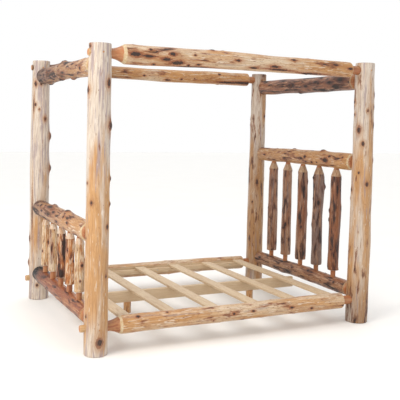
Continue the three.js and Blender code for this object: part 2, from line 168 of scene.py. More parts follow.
def makeSkin(look):
    material, tree = newMaterial(look["name"])
    place, tone, knot, rim = [addNode(tree, "Attribute", {"attribute_name": name}, out) for name, out in (
        ("logPlace", "Vector"), ("logTone", "Vector"), ("knotNear", "Fac"), ("rimNear", "Fac"))]
    honeyTone, darkWoodAndPaintedShade, barkTone = addNode(tree, "SeparateXYZ", {0: tone}).node.outputs
    grain = addPatterns(tree, place, skinGrain)
    patch, streak, fine = grain["patch"], grain["streak"], grain["fine"]
    honeyAt = addNode(tree, "Math", {"operation": "ADD", 0: patch, 1: honeyTone})
    ashAt = addNode(tree, "Math", {"operation": "MULTIPLY_ADD", 0: honeyTone, 1: -0.45,
                                   2: grain["ashStreak"]})
    barkAt = addNode(tree, "Math", {"operation": "ADD", 0: grain["island"], 1: barkTone})
    ragged = knot                                   # the knots' outlines, frayed by the streaks and chips
    for part, amount in ((streak, 1.0), (grain["chip"], 1.3), (0.5, -2.3)):
        ragged = addNode(tree, "Math", {"operation": "MULTIPLY_ADD", 0: part, 1: amount, 2: ragged})

    honey, ash, sliver, bark, fleck = (top - fall * look[share] for share, (top, fall) in skinEdges.items())
    colour, shares = addLayers(tree, look["cream"], (
        ("honey", honeyAt, honey - 0.13, honey + 0.13, 1.0, look["honey"]),
        ("tanStreaks", streak, 0.50, 0.70, look["streaks"], look["tan"]),
        ("paleStreaks", streak, 0.46, 0.30, look["streaks"], look["pale"]),
        ("ash", ashAt, ash - 0.05, ash + 0.06, 0.80, look["ash"]),
        ("slivers", grain["sliver"], sliver, sliver + 0.06, 0.75, look["pale"]),  # deep drawknife cuts
        ("flush", barkAt, bark - 0.09, bark - 0.01, 0.40, look["tan"]),  # bark islands, darker inwards
        ("bark", barkAt, bark - 0.03, bark + 0.015, 0.85, look["innerBark"]),
        ("barkCore", barkAt, bark + 0.035, bark + 0.075, 1.0, look["bark"]),
        ("flecks", grain["fleck"], fleck, fleck + 0.05, 0.75, look["innerBark"]),
        ("fibres", fine, 0.35, 0.65, 0.34, fibreShade),
        ("knotWarmth", ragged, 3.0, 1.2, 0.55, look["tan"]),  # warm wood flows round a knot
        ("knotRim", ragged, 1.30, 1.05, 0.92, look["innerBark"]),
        ("knotHeart", ragged, 0.84, 0.62, 1.0, look["bark"]),
        ("knotPith", ragged, 0.25, -0.15, 0.55, look["innerBark"]),
    ))

    # the turned shoulder: a pale ring of sapwood at its rim, then redder heartwood down to the tenon
    turned, band = turnedLook, look["sapBand"]
    rimAt = rim
    for part, amount in ((streak, 0.016), (0.5, -0.016)):
        rimAt = addNode(tree, "Math", {"operation": "MULTIPLY_ADD", 0: part, 1: amount, 2: rimAt})
    lines = addNode(tree, "TexWave", {"bands_direction": "Z", "Scale": 1000 / turned["toolPitch"] / waveTurn,
                                      "Distortion": 0.6, "Vector": place}, "Fac")
    lines = addNode(tree, "Math", {"operation": "MULTIPLY", 0: lines, 1: turned["toolDepth"]})
    heart = addLayers(tree, turned["heart"], (("red", patch, 0.35, 0.65, 1.0, turned["redHeart"]),
                                              ("pale", streak, 0.4, 0.65, 0.6, turned["paleHeart"])))[0]
    heart = addNode(tree, "Mix", {"data_type": "RGBA", 0: lines, 6: heart, 7: turned["toolLine"]}, 2)
    sap = addLayers(tree, look["sap"][0], (("sap", streak, 0.3, 0.7, 1.0, look["sap"][1]),))[0]
    tenon = addLayers(tree, turned["tenon"][0], (("tenon", streak, 0.3, 0.7, 1.0, turned["tenon"][1]),))[0]
    shoulder = addLayers(tree, heart, (
        ("sapBand", rimAt, -band - 0.002, -band + 0.002, 1.0, sap),
        ("tenon", rim, turned["tenonFrom"], turned["tenonFrom"] - 0.003, 1.0, tenon),
    ))[0]
    colour = addLayers(tree, colour, (("turned", rim, 0.0012, -0.0004, 1.0, shoulder),))[0]
    # multiplies in logTone's darkening after the turned shoulders: darker wood, and painted shade that also
    # darkens the rail ends by the foot-left post
    colour = addNode(tree, "Mix", {"data_type": "RGBA", "blend_type": "MULTIPLY", 0: darkWoodAndPaintedShade, 6: colour,
                                   7: darkWoodAndPaintedShadeColour}, 2)

    dark = addNode(tree, "Math", {"operation": "MAXIMUM", 0: shares["barkCore"], 1: shares["knotHeart"]})
    satin = addNode(tree, "MapRange", {"interpolation_type": "SMOOTHSTEP", "Value": fine, "From Min": 0.3,
                                       "From Max": 0.7, "To Min": 0.40, "To Max": 0.54})
    rough = addNode(tree, "Math", {"operation": "MULTIPLY_ADD", 0: dark, 1: 0.22, 2: satin})
    relief = 0.0
    for part, height in ((fine, 0.35), (streak, 0.6), (shares["flush"], 0.8), (dark, -0.8)):
        relief = addNode(tree, "Math", {"operation": "MULTIPLY_ADD", 0: part, 1: height, 2: relief})
    bump = addNode(tree, "Bump", {"Strength": 0.6, "Distance": 0.0016, "Height": relief})
    varnish = {"IOR": 1.5, "Coat Weight": 0.10, "Coat Roughness": 0.35}
    shader = addNode(tree, "BsdfPrincipled", {"Base Color": colour, "Roughness": rough, "Normal": bump,
                                              **varnish})
    addNode(tree, "OutputMaterial", {"Surface": shader})
    return material


def addRings(tree, place, bends, width):
    # yearly rings round the pith, bent by the parts given; width in millimetres
    flat = addNode(tree, "VectorMath", {"operation": "MULTIPLY", 0: place, 1: (1, 1, 0)})
    radius = addNode(tree, "VectorMath", {"operation": "LENGTH", 0: flat}, "Value")
    bent = radius
    for part, amount in bends:
        bent = addNode(tree, "Math", {"operation": "MULTIPLY_ADD", 0: part, 1: amount, 2: bent})
    rings = addNode(tree, "Math", {"operation": "DIVIDE", 0: bent, 1: width / 1000})
    return flat, radius, bent, addNode(tree, "Math", {"operation": "FRACT", 0: rings})


# Sawn cedar ends: reddish heartwood inside cream sapwood, yearly rings, and drying checks out from the pith.
endGrainLook = {
    "name": "cedarSawnEndGrain", "sap": "#E4CDA4", "heart": "#C58A5C", "late": "#8E5A36", "check": "#3A251A",
    "ringWidth": 3.4, "heartRadius": 43, "sawMark": 4, "wobble": (35, 500, 2.2, {}),
}


def makeEndGrain(look):
    material, tree = newMaterial(look["name"])
    place = addNode(tree, "Attribute", {"attribute_name": "logPlace"}, "Vector")
    wobble = addPatterns(tree, place, {"wobble": look["wobble"]})["wobble"]
    flat, radius, bent, ring = addRings(tree, place, ((wobble, 0.016), (0.5, -0.016)), look["ringWidth"])
    heartEdge = look["heartRadius"] / 1000
    colour = addLayers(tree, look["sap"], (
        ("heart", bent, heartEdge + 0.004, heartEdge - 0.004, 1.0, look["heart"]),
        ("late", ring, 0.55, 0.95, 0.55, look["late"]),
    ))[0]
    turn = addNode(tree, "VectorMath", {"operation": "NORMALIZE", 0: flat})
    spread = addNode(tree, "VectorMath", {"operation": "MULTIPLY", 0: turn, 1: (5.5, 5.5, 0)})
    rays = addNode(tree, "TexNoise", {"Scale": 1.0, "Detail": 3.0, "Roughness": 0.6, "Vector": spread})
    offRay = addNode(tree, "Math", {"operation": "SUBTRACT", 0: rays, 1: 0.5})
    offRay = addNode(tree, "Math", {"operation": "ABSOLUTE", 0: offRay})
    crack, outer = [addNode(tree, "MapRange", {"interpolation_type": "SMOOTHSTEP", "Value": value,
                                               "From Min": low, "From Max": high})
                    for value, low, high in ((offRay, 0.022, 0.004), (radius, 0.012, 0.03))]
    checks = addNode(tree, "Math", {"operation": "MULTIPLY", 0: crack, 1: outer})
    colour = addNode(tree, "Mix", {"data_type": "RGBA", 0: checks, 6: colour, 7: look["check"]}, 2)
    saw = addNode(tree, "TexWave", {"bands_direction": "X", "Scale": 1000 / look["sawMark"] / waveTurn,
                                    "Distortion": 1.5, "Vector": place}, "Fac")
    saw = addNode(tree, "Math", {"operation": "MULTIPLY", 0: saw, 1: 0.3})
    relief = addNode(tree, "Math", {"operation": "SUBTRACT", 0: saw, 1: checks})
    bump = addNode(tree, "Bump", {"Strength": 0.6, "Distance": 0.0010, "Height": relief})
    shader = addNode(tree, "BsdfPrincipled", {"Base Color": colour, "Roughness": 0.62, "Normal": bump})
    addNode(tree, "OutputMaterial", {"Surface": shader})
    return material


# Planed spruce, left bare: pale, with straight to arched grain from a pith outside the board, and pin knots.
planedLook = {
    "name": "sprucePlanedBare", "early": "#D3BE9F", "late": "#B59069", "knot": "#855636",
    "knotRim": "#6B4226", "fibre": "#B79466", "ringWidth": 5.2,
    "grain": {"sway": (50, 550, 4.4, {}), "fine": (1.6, 70, 8.8, {})},
}


def makePlaned(look):
    material, tree = newMaterial(look["name"])
    place = addNode(tree, "Attribute", {"attribute_name": "logPlace"}, "Vector")
    knot = addNode(tree, "Attribute", {"attribute_name": "knotNear"}, "Fac")
    grain = addPatterns(tree, place, look["grain"])
    swirl = addNode(tree, "MapRange", {"interpolation_type": "SMOOTHSTEP", "Value": knot, "From Min": 3.2,
                                       "From Max": 0.6, "To Max": 0.012})
    ring = addRings(tree, place, ((grain["sway"], 0.05), (swirl, 1.0)), look["ringWidth"])[3]
    rise, fall, rough = [addNode(tree, "MapRange", {"interpolation_type": "SMOOTHSTEP", "Value": ring,
                                                    "From Min": low, "From Max": high, "To Min": start,
                                                    "To Max": end})
                         for low, high, start, end in ((0.30, 0.92, 0, 1), (1.0, 0.93, 0, 1),
                                                       (0.2, 0.9, 0.62, 0.52))]
    late = addNode(tree, "Math", {"operation": "MULTIPLY", 0: rise, 1: fall})
    lateShare = addNode(tree, "Math", {"operation": "MULTIPLY", 0: late, 1: 0.62})
    colour = addNode(tree, "Mix", {"data_type": "RGBA", 0: lateShare, 6: look["early"], 7: look["late"]}, 2)
    colour = addLayers(tree, colour, (
        ("fibres", grain["fine"], 0.4, 0.7, 0.25, look["fibre"]),
        ("knotRim", knot, 1.25, 1.0, 1.0, look["knotRim"]),
        ("knot", knot, 0.98, 0.8, 1.0, look["knot"]),
    ))[0]
    relief = 0.0
    for part, height in ((late, 0.5), (grain["fine"], 0.4)):
        relief = addNode(tree, "Math", {"operation": "MULTIPLY_ADD", 0: part, 1: height, 2: relief})
    bump = addNode(tree, "Bump", {"Strength": 0.35, "Distance": 0.0006, "Height": relief})
    shader = addNode(tree, "BsdfPrincipled", {"Base Color": colour, "Roughness": rough, "Normal": bump})
    addNode(tree, "OutputMaterial", {"Surface": shader})
    return material


# Two small-part finishes, each from one even pattern. Zinc-plated steel is a pale bluish grey with cloudy
# patches and soft highlights. Moulded polyethylene is a near-black brown, finely sandblasted in the mould.
plainLooks = {
    "zincSteel": {"name": "steelZincPlated", "pattern": (4, 4, 1.0, {"Detail": 3.0}),
                  "colours": ("#9EA2A3", "#C6C8C4"), "roughness": (0.28, 0.42), "relief": 0.0,
                  "shader": {"Metallic": 1.0}},
    "mouldedPad": {"name": "polyethyleneMouldedDark", "pattern": (0.7, 0.7, 2.0, {}),
                   "colours": ("#231D1A", "#2E2723"), "roughness": (0.48, 0.6), "relief": 0.0002,
                   "shader": {"IOR": 1.51}},
}


def makePlain(look):
    material, tree = newMaterial(look["name"])
    place = addNode(tree, "TexCoord", {}, "Object")
    cloud = addPatterns(tree, place, {"cloud": look["pattern"]})["cloud"]
    colour = addLayers(tree, look["colours"][0], (("cloud", cloud, 0.3, 0.7, 1.0, look["colours"][1]),))[0]
    rough = addNode(tree, "MapRange", {"interpolation_type": "SMOOTHSTEP", "Value": cloud, "From Min": 0.3,
                                       "From Max": 0.7, "To Min": look["roughness"][0],
                                       "To Max": look["roughness"][1]})
    settings = {"Base Color": colour, "Roughness": rough, **look["shader"]}
    if look["relief"]:
        settings["Normal"] = addNode(tree, "Bump", {"Strength": 0.3, "Distance": look["relief"],
                                                    "Height": cloud})
    addNode(tree, "OutputMaterial", {"Surface": addNode(tree, "BsdfPrincipled", settings)})
    return material


skins = {kind: makeSkin(look) for kind, look in skinLooks.items()}
endGrain = makeEndGrain(endGrainLook)
planedSpruce = makePlaned(planedLook)
zincSteel, mouldedPad = (makePlain(plainLooks[kind]) for kind in ("zincSteel", "mouldedPad"))
print("materials made")


# A log runs along one axis. Round it, the angle goes from the first to the second of these directions.
acrossAxes = {"x": (1, 2, 0), "y": (2, 0, 1), "z": (0, 1, 2)}
ringStep = 0.0062                                   # spacing of points round and along a log
ringStepFine = 0.0045


def latticeNoise(points, seed):
    # smooth noise from -1 to 1 at each row of an (n, 3) array
    cell = np.floor(points).astype(np.int64)
    part = points - cell
    ease = part * part * (3 - 2 * part)
    total = np.zeros(len(points))
    for corner in range(8):
        step = np.array([corner & 1, corner >> 1 & 1, corner >> 2 & 1])
        key = (cell + step) @ np.array([374761393, 668265263, 982451653]) + seed * 1442695
        key = ((key ^ (key >> 13)) * 1274126177) & 0x7FFFFFFFFFFF
        value = ((key ^ (key >> 16)) & 0xFFFF) / 32767.5 - 1
        total += value * np.prod(np.where(step, ease, 1 - ease), axis=1)
    return total


def wrapAngle(angle):
    return (angle + math.pi) % (2 * math.pi) - math.pi


joinery = {"tenonRadius": 0.024, "neckRadius": 0.034, "pastAxis": 0.030, "seatDepth": 0.010, "gap": 0.0004,
           "seatRoom": 0.002, "spindleTenonRadius": 0.021, "spindleTenonDepth": 0.038, "chamfer": 0.003,
           "pegRadius": 0.006}
shoulders = {                                       # bare neck, run out to the log's radius, the run's shape
    "hollow": {"neck": 0.002, "run": 0.090, "power": 1.7},
    "squareRight": {"neck": 0.078, "run": 0.008, "power": 0.45},
    "squareLeft": {"neck": 0.062, "run": 0.008, "power": 0.45},
    "round": {"neck": 0.007, "run": 0.026, "power": 0.5},
    "spindleFoot": {"neck": 0.050, "run": 0.006, "power": 0.5},
    "footCone": {"neck": 0.004, "run": 0.044, "power": 0.95},
    "headCone": {"neck": 0.004, "run": 0.062, "power": 0.95},
}
shoulderSteps = 14


def endProfile(end, logRadius):
    # (radius, distance) from the tip to where the log's own skin begins; without an end it is sawn and eased
    if not end:
        return [(0, 0), (logRadius * 0.5, 0), (logRadius * 0.8, 0), (logRadius - 0.005, 0),
                (logRadius - 0.0015, 0.0012), (logRadius, 0.005)]
    tenon, neck, shape, chamfer = end["tenon"], end["neck"], shoulders[end["shoulder"]], joinery["chamfer"]
    points = [(0, 0), (tenon * 0.5, 0), (tenon - chamfer, 0), (tenon - chamfer * 0.35, chamfer * 0.3),
              (tenon, chamfer), (tenon, end["length"])]
    root = end["length"] + shape["neck"]
    if neck > tenon:
        points.append((neck, end["length"]))
        root += joinery["seatDepth"]
    shares = [step / shoulderSteps for step in range(shoulderSteps + 1)]
    return points + [(neck + (logRadius - neck) * share ** shape["power"], root + shape["run"] * share)
                     for share in shares]


def logProfile(length, radii, ends):
    # (radius, place) rows from one tip to the other, and the places of the two shoulder rims
    low, high = (endProfile(end, radius) for end, radius in zip(ends, radii))
    start, finish = low[-1][1], length - high[-1][1]
    stations = low + [(radius, length - away) for radius, away in reversed(high)]
    rows = []
    for index, (here, there) in enumerate(zip(stations, stations[1:])):
        pieces = int(math.dist(here, there) / (1.6 * ringStep)) + 1
        if index == len(low) - 1:                   # the peeled skin gets closer rows than the turned ends
            pieces = max(3, round((finish - start) / ringStep))
        for share in np.arange(pieces) / pieces:
            rows.append((here[0] + (there[0] - here[0]) * share, here[1] + (there[1] - here[1]) * share))
    rows.append(stations[-1])
    return np.array(rows), (start if ends[0] else -1.0, finish if ends[1] else length + 1.0)


# A knot is its place along the log, the way it faces in degrees, its radius, how far it stands out, and how
# many times longer it is along the grain.
plainKnotStretch = 1.5
strewnKnot = {"radius": (0.006, 0.0125), "height": (0.001, 0.005), "stretch": (1.2, 3.0), "endRoom": 0.06}


def knotShare(knot, angle, place, radius):
    # distance from a knot in its own radii; a knot has pointed ends along the grain
    where, facing, size, _, stretch = knot
    around = np.abs(wrapAngle(angle - math.radians(facing))) * radius / size
    return (around ** 1.6 + (np.abs(place - where) / (stretch * size)) ** 1.6) ** (1 / 1.6)


def strewKnots(spec, length, rims):
    # the listed knots, and small ones strewn between the ends
    random = np.random.default_rng(spec["seed"])
    knots = [(*knot, plainKnotStretch)[:5] for knot in spec.get("knots", ())]
    low, high = max(rims[0], 0) + strewnKnot["endRoom"], min(rims[1], length) - strewnKnot["endRoom"]
    clearFrom, clearTo = spec.get("clearSide", (0, 0))  # this side of the log has only its listed knots
    for _ in range(spec["strewn"]):
        size = random.uniform(*strewnKnot["radius"]) * spec.get("knotScale", 1.0)
        knot = (random.uniform(low, high), random.uniform(-180, 180), size,
                random.uniform(*strewnKnot["height"]), random.uniform(*strewnKnot["stretch"]))
        if not clearFrom < knot[1] < clearTo:
            knots.append(knot)
    return knots


outOfRound = ((2, 0.014, 1.7, 0.53), (3, 0.008, 2.9, -0.29))  # lobes, share of radius, seed's turn, drift
knotRise = {"fall": 1.1, "dimple": 0.35, "dimpleFall": 7}
knotSwell = {"height": 0.4, "round": 2.6, "along": 4.5}  # the log thickens round a knot, in knot sizes
logLumps = (                                        # size round and along the log, height, and noise key
    (0.10, 0.22, 0.0030, 11),
    (0.045, 0.11, 0.0017, 23),
    (0.020, 0.16, 0.0010, 37),
)
toolFacet = {"size": 0.013, "run": 0.30, "height": 0.0006, "key": 51}


def skinOffset(angle, place, radius, spec, knots):
    # how far the peeled skin stands off a true round, in metres
    seed = spec["seed"]
    circle = np.stack([np.cos(angle), np.sin(angle)], axis=1) * radius
    offset = radius * sum(share * np.sin(lobes * angle + seed * turn + place / drift)
                          for lobes, share, turn, drift in outOfRound)
    for size, run, height, key in logLumps:
        where = np.column_stack([circle / size, place / run]) + seed * 3.7
        offset += spec["lumps"] * height * latticeNoise(where, seed + key)
    facetRun = spec.get("facetLength", toolFacet["run"])
    where = np.column_stack([circle / toolFacet["size"], place / facetRun]) + seed
    offset += spec.get("facets", 1.0) * toolFacet["height"] * latticeNoise(where, seed + toolFacet["key"])
    for knot in knots:
        where, facing, size, height, _ = knot
        around = wrapAngle(angle - math.radians(facing)) * radius
        share = knotShare(knot, angle, place, radius)
        dimple = knotRise["dimple"] * np.exp(-knotRise["dimpleFall"] * share ** 2)
        offset += height * (np.exp(-knotRise["fall"] * share ** 2) - dimple)
        away = ((around / (knotSwell["round"] * size)) ** 2
                + ((place - where) / (knotSwell["along"] * size)) ** 2)
        offset += knotSwell["height"] * height * np.exp(-away)
    return offset


wander = {"reach": 0.0022, "swing": 9}              # a log's small wander off its bow


def bowAt(place, rims, length, spec):
    # the log's slow bend between its two straight ends
    low, high = max(rims[0], 0.0), min(rims[1], length)
    share = np.clip((place - low) / (high - low), 0, 1)
    bend = spec.get("bow", (0.0, 0.0))
    stray = wander["reach"] * np.sin(math.pi * share) * np.sin(share * wander["swing"] + spec["seed"])
    swing = np.sin(math.pi * share) ** 2
    return np.stack([bend[0] * swing + stray, bend[1] * swing - stray], axis=1)


def pointsOf(mesh):
    points = np.empty(len(mesh.vertices) * 3)
    mesh.vertices.foreach_get("co", points)
    return points.reshape(-1, 3)


def writeFields(mesh, fields):
    for name, values in fields.items():
        kind, part = ("FLOAT_VECTOR", "vector") if values.ndim == 2 else ("FLOAT", "value")
        mesh.attributes.new(name, kind, "POINT").data.foreach_set(part, values.astype(np.float32).ravel())


grainFlow = {"along": 2.6, "beside": 1.8, "edge": 0.4, "shift": 0.75}  # how grain parts round a knot
farFromKnots = 6.0
farFromRims = 0.2


def markWood(mesh, origin, axis, spec, knots, rims, length, radius, neck=joinery["neckRadius"]):
    # writes what the skins read: each point's place in the log, after all cuts are made
    points = pointsOf(mesh) - np.array(origin)
    first, second, third = acrossAxes[axis]
    place = points[:, third]
    across = points[:, [first, second]] - bowAt(place, rims, length, spec)
    reach = np.hypot(across[:, 0], across[:, 1])
    angle = np.arctan2(across[:, 1], across[:, 0])
    near = np.full(len(place), farFromKnots)
    shift = np.zeros(len(place))
    for knot in knots:
        near = np.minimum(near, knotShare(knot, angle, place, radius))
        where, facing, size = knot[:3]
        around = wrapAngle(angle - math.radians(facing)) * radius
        part = (np.exp(-((place - where) / (grainFlow["along"] * size)) ** 2)
                * np.exp(-np.abs(around) / (grainFlow["beside"] * size)))
        shift -= np.tanh(around / (grainFlow["edge"] * size)) * grainFlow["shift"] * size * part
    flow = angle + shift / radius + spec.get("twist", 0.0) * place
    rimNear = np.minimum(place - rims[0], rims[1] - place)
    depth = np.clip((reach - neck) / (radius - neck) - 1, -1.2, -0.01)  # 0 at a rim, -1 down at its neck
    rimNear = np.where(rimNear < 1e-5, 0.05 * depth, rimNear)
    tones = np.array(spec.get("tones", [(0.0, 0.0, 0.0, 0.0)]))  # share of the length, honey, darkening (darker wood, and painted shade), bark
    writeFields(mesh, {
        "logPlace": np.stack([reach * np.cos(flow), reach * np.sin(flow), place + spec["seed"] * 0.731], 1),
        "logTone": np.stack([np.interp(place / length, tones[:, 0], tones[:, i]) for i in (1, 2, 3)], axis=1),
        "knotNear": near,
        "rimNear": np.clip(rimNear, -farFromRims, farFromRims),
    })


def pieceName(node):
    words = node.split("_")
    return words[0] + "".join(word.title() for word in words[1:])


def addMesh(name, mesh, *materials):
    for material in materials:
        mesh.materials.append(material)
    piece = bpy.data.objects.new(name, mesh)
    bpy.context.scene.collection.objects.link(piece)
    return piece


def addSolid(name, solid, material):
    mesh = bpy.data.meshes.new(name)
    solid.to_mesh(mesh)
    solid.free()
    return addMesh(name, mesh, material)


def addRod(name, axis, start, radius, length, material, sides=40):
    # a round cutter along an axis, from start
    quarter = math.pi / 2
    turn = {"x": Matrix.Rotation(quarter, 4, "Y"), "y": Matrix.Rotation(-quarter, 4, "X"), "z": Matrix()}
    solid = bmesh.new()
    bmesh.ops.create_cone(solid, segments=sides, radius1=radius, radius2=radius, depth=length, cap_ends=True)
    bmesh.ops.translate(solid, verts=solid.verts, vec=(0, 0, length / 2))
    bmesh.ops.transform(solid, matrix=Matrix.Translation(Vector(start)) @ turn[axis], verts=solid.verts)
    bmesh.ops.recalc_face_normals(solid, faces=solid.faces)
    return addSolid(name, solid, material)


def cutAway(piece, cutters):
    # bores the cutters out of the piece for good; the new faces take the cutters' material
    if not cutters:
        return
    for cutter in cutters:
        bore = piece.modifiers.new(cutter.name, "BOOLEAN")
        bore.operation = "DIFFERENCE"
        bore.solver = "MANIFOLD"
        bore.object = cutter
        bore.material_mode = "TRANSFER"
    bpy.context.view_layer.update()
    graph = bpy.context.evaluated_depsgraph_get()
    cut = bpy.data.meshes.new_from_object(piece.evaluated_get(graph))
    old = piece.data
    piece.modifiers.clear()
    piece.data = cut
    bpy.data.meshes.remove(old)
    for cutter in cutters:
        bpy.data.objects.remove(cutter)


def finishPiece(piece, node, sharp):
    piece.data.shade_smooth()
    piece.data.set_sharp_from_angle(angle=math.radians(sharp))
    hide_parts(node)
    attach(piece, bodyOf[node])


def addRoundMesh(name, axis, origin, sides, profile, reach, bow=None):
    # rings of points along an axis, joined by quads and closed by a fan of triangles at each tip
    first, second, third = acrossAxes[axis]
    count = len(profile) - 2
    angle = np.tile(np.arange(sides) * 2 * math.pi / sides, count)
    points = np.zeros((count * sides + 2, 3))
    points[:-2, first] = reach * np.cos(angle)
    points[:-2, second] = reach * np.sin(angle)
    points[:-2, third] = np.repeat(profile[1:-1, 1], sides)
    if bow is not None:
        points[:-2, [first, second]] += bow
    points[-2:, third] = profile[0, 1], profile[-1, 1]
    faces = []
    for row in range(0, (count - 1) * sides, sides):
        for side in range(sides):
            after = (side + 1) % sides
            faces.append((row + side, row + after, row + sides + after, row + sides + side))
    last, lowTip = (count - 1) * sides, count * sides
    for side in range(sides):
        after = (side + 1) % sides
        faces += [(lowTip, after, side), (lowTip + 1, last + side, last + after)]
    mesh = bpy.data.meshes.new(name)
    mesh.from_pydata((points + np.array(origin)).tolist(), [], faces)
    return mesh


skinEase = 0.03                                     # the skin's lumps die out this far from a shoulder


def makeLog(node, axis, origin, length, spec, skin, ends=(None, None), cutters=()):
    # a peeled log along an axis from its butt, with the ends and cuts of its CAD node
    profile, rims = logProfile(length, spec["radii"], ends)
    rings = profile[1:-1]
    radius = sum(spec["radii"]) / 2
    knots = strewKnots(spec, length, rims)
    sides = max(24, int(2 * math.pi * radius / spec.get("step", ringStep)))
    angle = np.tile(np.arange(sides) * 2 * math.pi / sides, len(rings))
    turned, place = (np.repeat(column, sides) for column in rings.T)
    inward = np.clip(np.minimum(place - rims[0], rims[1] - place) / skinEase, 0, 1)
    skinShare = inward * inward * (3 - 2 * inward)
    capShare = np.clip(turned / max(spec["radii"]), 0, 1)  # they die out towards the middle of a sawn end too
    reach = turned + skinOffset(angle, place, radius, spec, knots) * skinShare * capShare
    bow = bowAt(place, rims, length, spec)
    mesh = addRoundMesh(pieceName(node), axis, origin, sides, profile, reach, bow)
    flat = np.abs(np.diff(rings[:, 1])) < 1e-6
    sawn = flat & ((rings[:-1, 1] < 1e-6) | (rings[:-1, 1] > length - 1e-6))
    caps = np.append(np.repeat(sawn, sides), np.ones(2 * sides))
    piece = addMesh(pieceName(node), mesh, skin, endGrain)
    mesh.polygons.foreach_set("material_index", caps.astype(np.int32))
    mesh.update()
    cutAway(piece, cutters)
    neck = ends[0]["neck"] if ends[0] else 0.0
    markWood(piece.data, origin, axis, spec, knots, rims, length, radius, neck)
    finishPiece(piece, node, 38)


def tipOf(node, axis, high):
    # the middle of a log's tip, which is a true circle on a tenon
    third = "xyz".index(axis)
    points = pointsOf(frame["nodes"][node].data)
    edge = points[:, third].max() if high else points[:, third].min()
    tip = points[np.abs(points[:, third] - edge) < 1e-5]
    return Vector((tip.min(axis=0) + tip.max(axis=0)) / 2)


# Where the frame puts the logs.
sideNames = ("right", "left")
endNames = ("foot", "head")
outwardOf = {"right": 1, "left": -1}
postX = {side: tipOf(f"canopy_side_rail_{side}", "y", True).x for side in sideNames}
postY = {end: tipOf(f"canopy_{end}_rail", "x", True).y for end in endNames}
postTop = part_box("post_foot_right")[1].z
boardTip = {end: tipOf(f"{end}board_top_rail", "x", True) for end in endNames}
heights = {
    "canopySide": tipOf("canopy_side_rail_right", "y", True).z,
    "canopyEnd": tipOf("canopy_foot_rail", "x", True).z,
    "sideRail": tipOf("side_rail_right", "y", True).z,
    "boardBottom": tipOf("footboard_bottom_rail", "x", True).z,
}


# Each post's knots give their height and the way they face, from +X towards +Y. Its tones are listed from the
# floor up, as a share of its height, then honey, darkening and bark.
postLooks = {
    "foot_right": {
        "radii": (0.082, 0.074), "seed": 1, "strewn": 18, "clearSide": (-120, 66), "bow": (0.002, -0.003),
        "lumps": 0.6,
        "tones": [(0, -0.08, 0, 0), (0.08, 0.10, 0.05, 0), (0.28, 0.24, 0.05, 0), (0.48, 0.16, 0, 0),
                  (0.62, -0.02, 0, 0), (0.8, -0.14, 0, 0), (1, -0.12, 0, 0)],
        "knots": [(2.06, -80, 0.013, 0.006), (1.77, -84, 0.018, 0.008), (1.82, 36, 0.018, 0.004, 1.8),
                  (1.54, 50, 0.022, 0.014, 1.6), (1.19, 58, 0.011, 0.010), (1.02, 57, 0.010, 0.009),
                  (1.16, -76, 0.008, 0.003), (1.03, -48, 0.012, 0.003), (0.87, 37, 0.013, 0.003),
                  (0.79, -82, 0.007, 0.002), (0.54, 32, 0.010, 0.003), (0.27, -74, 0.009, 0.002),
                  (0.10, 1, 0.024, 0.004)],
    },
    "foot_left": {
        "radii": (0.086, 0.074), "seed": 2, "strewn": 16, "clearSide": (-120, 66), "bow": (-0.004, -0.004),
        "lumps": 0.9,
        "tones": [(0, -0.12, 0, 0), (0.3, 0.0, 0, 0), (0.5, -0.02, 0, 0), (0.8, -0.12, 0, 0),
                  (1, -0.06, 0, 0)],
        "knots": [(1.88, -48, 0.015, 0.007), (1.88, -12, 0.010, 0.004), (1.70, -47, 0.010, 0.004),
                  (1.66, -21, 0.008, 0.002), (1.58, 17, 0.014, 0.004), (1.43, 66, 0.021, 0.019),
                  (1.15, 66, 0.020, 0.018), (0.53, -88, 0.020, 0.006), (0.32, -98, 0.018, 0.012),
                  (0.13, -22, 0.010, 0.002), (0.75, -60, 0.007, 0.001, 30), (1.70, -62, 0.008, 0.001, 9.0)],
    },
    "head_right": {
        "radii": (0.087, 0.077), "seed": 3, "strewn": 18, "clearSide": (-120, 66), "bow": (0.003, 0.002),
        "lumps": 0.9,
        "tones": [(0, 0.05, 0.45, 0.16), (0.12, 0.15, 0.30, 0.14), (0.22, 0.20, 0.12, 0.10),
                  (0.45, 0.12, 0.10, 0.10), (0.6, 0.12, 0.06, 0.07), (0.8, 0.04, 0.10, 0.09),
                  (1, -0.02, 0.06, 0.08)],
        "knots": [(1.55, -64, 0.019, 0.004), (1.44, -39, 0.014, 0.003), (1.21, -57, 0.009, 0.003),
                  (1.12, -10, 0.015, 0.003), (1.70, -17, 0.009, 0.002), (1.83, 40, 0.017, 0.004),
                  (1.73, 36, 0.015, 0.003), (1.59, 38, 0.018, 0.004), (1.31, 44, 0.014, 0.004),
                  (1.77, -104, 0.012, 0.007), (1.67, -99, 0.010, 0.005), (1.07, -108, 0.014, 0.006)],
    },
    "head_left": {
        "radii": (0.084, 0.074), "seed": 4, "strewn": 12, "bow": (-0.003, 0.003), "lumps": 0.9,
        "tones": [(0, 0.15, 0.26, 0.13), (0.5, 0.2, 0.28, 0.13), (0.75, 0.0, 0.22, 0.12),
                  (0.94, 0.05, 0.26, 0.12), (1, 0.1, 0.50, 0.16)],
        "knots": [(2.01, -4, 0.011, 0.003), (1.66, 25, 0.012, 0.006)],
    },
}


def postRadiusAt(look, height):
    return look["radii"][0] + (look["radii"][1] - look["radii"][0]) * height / postTop


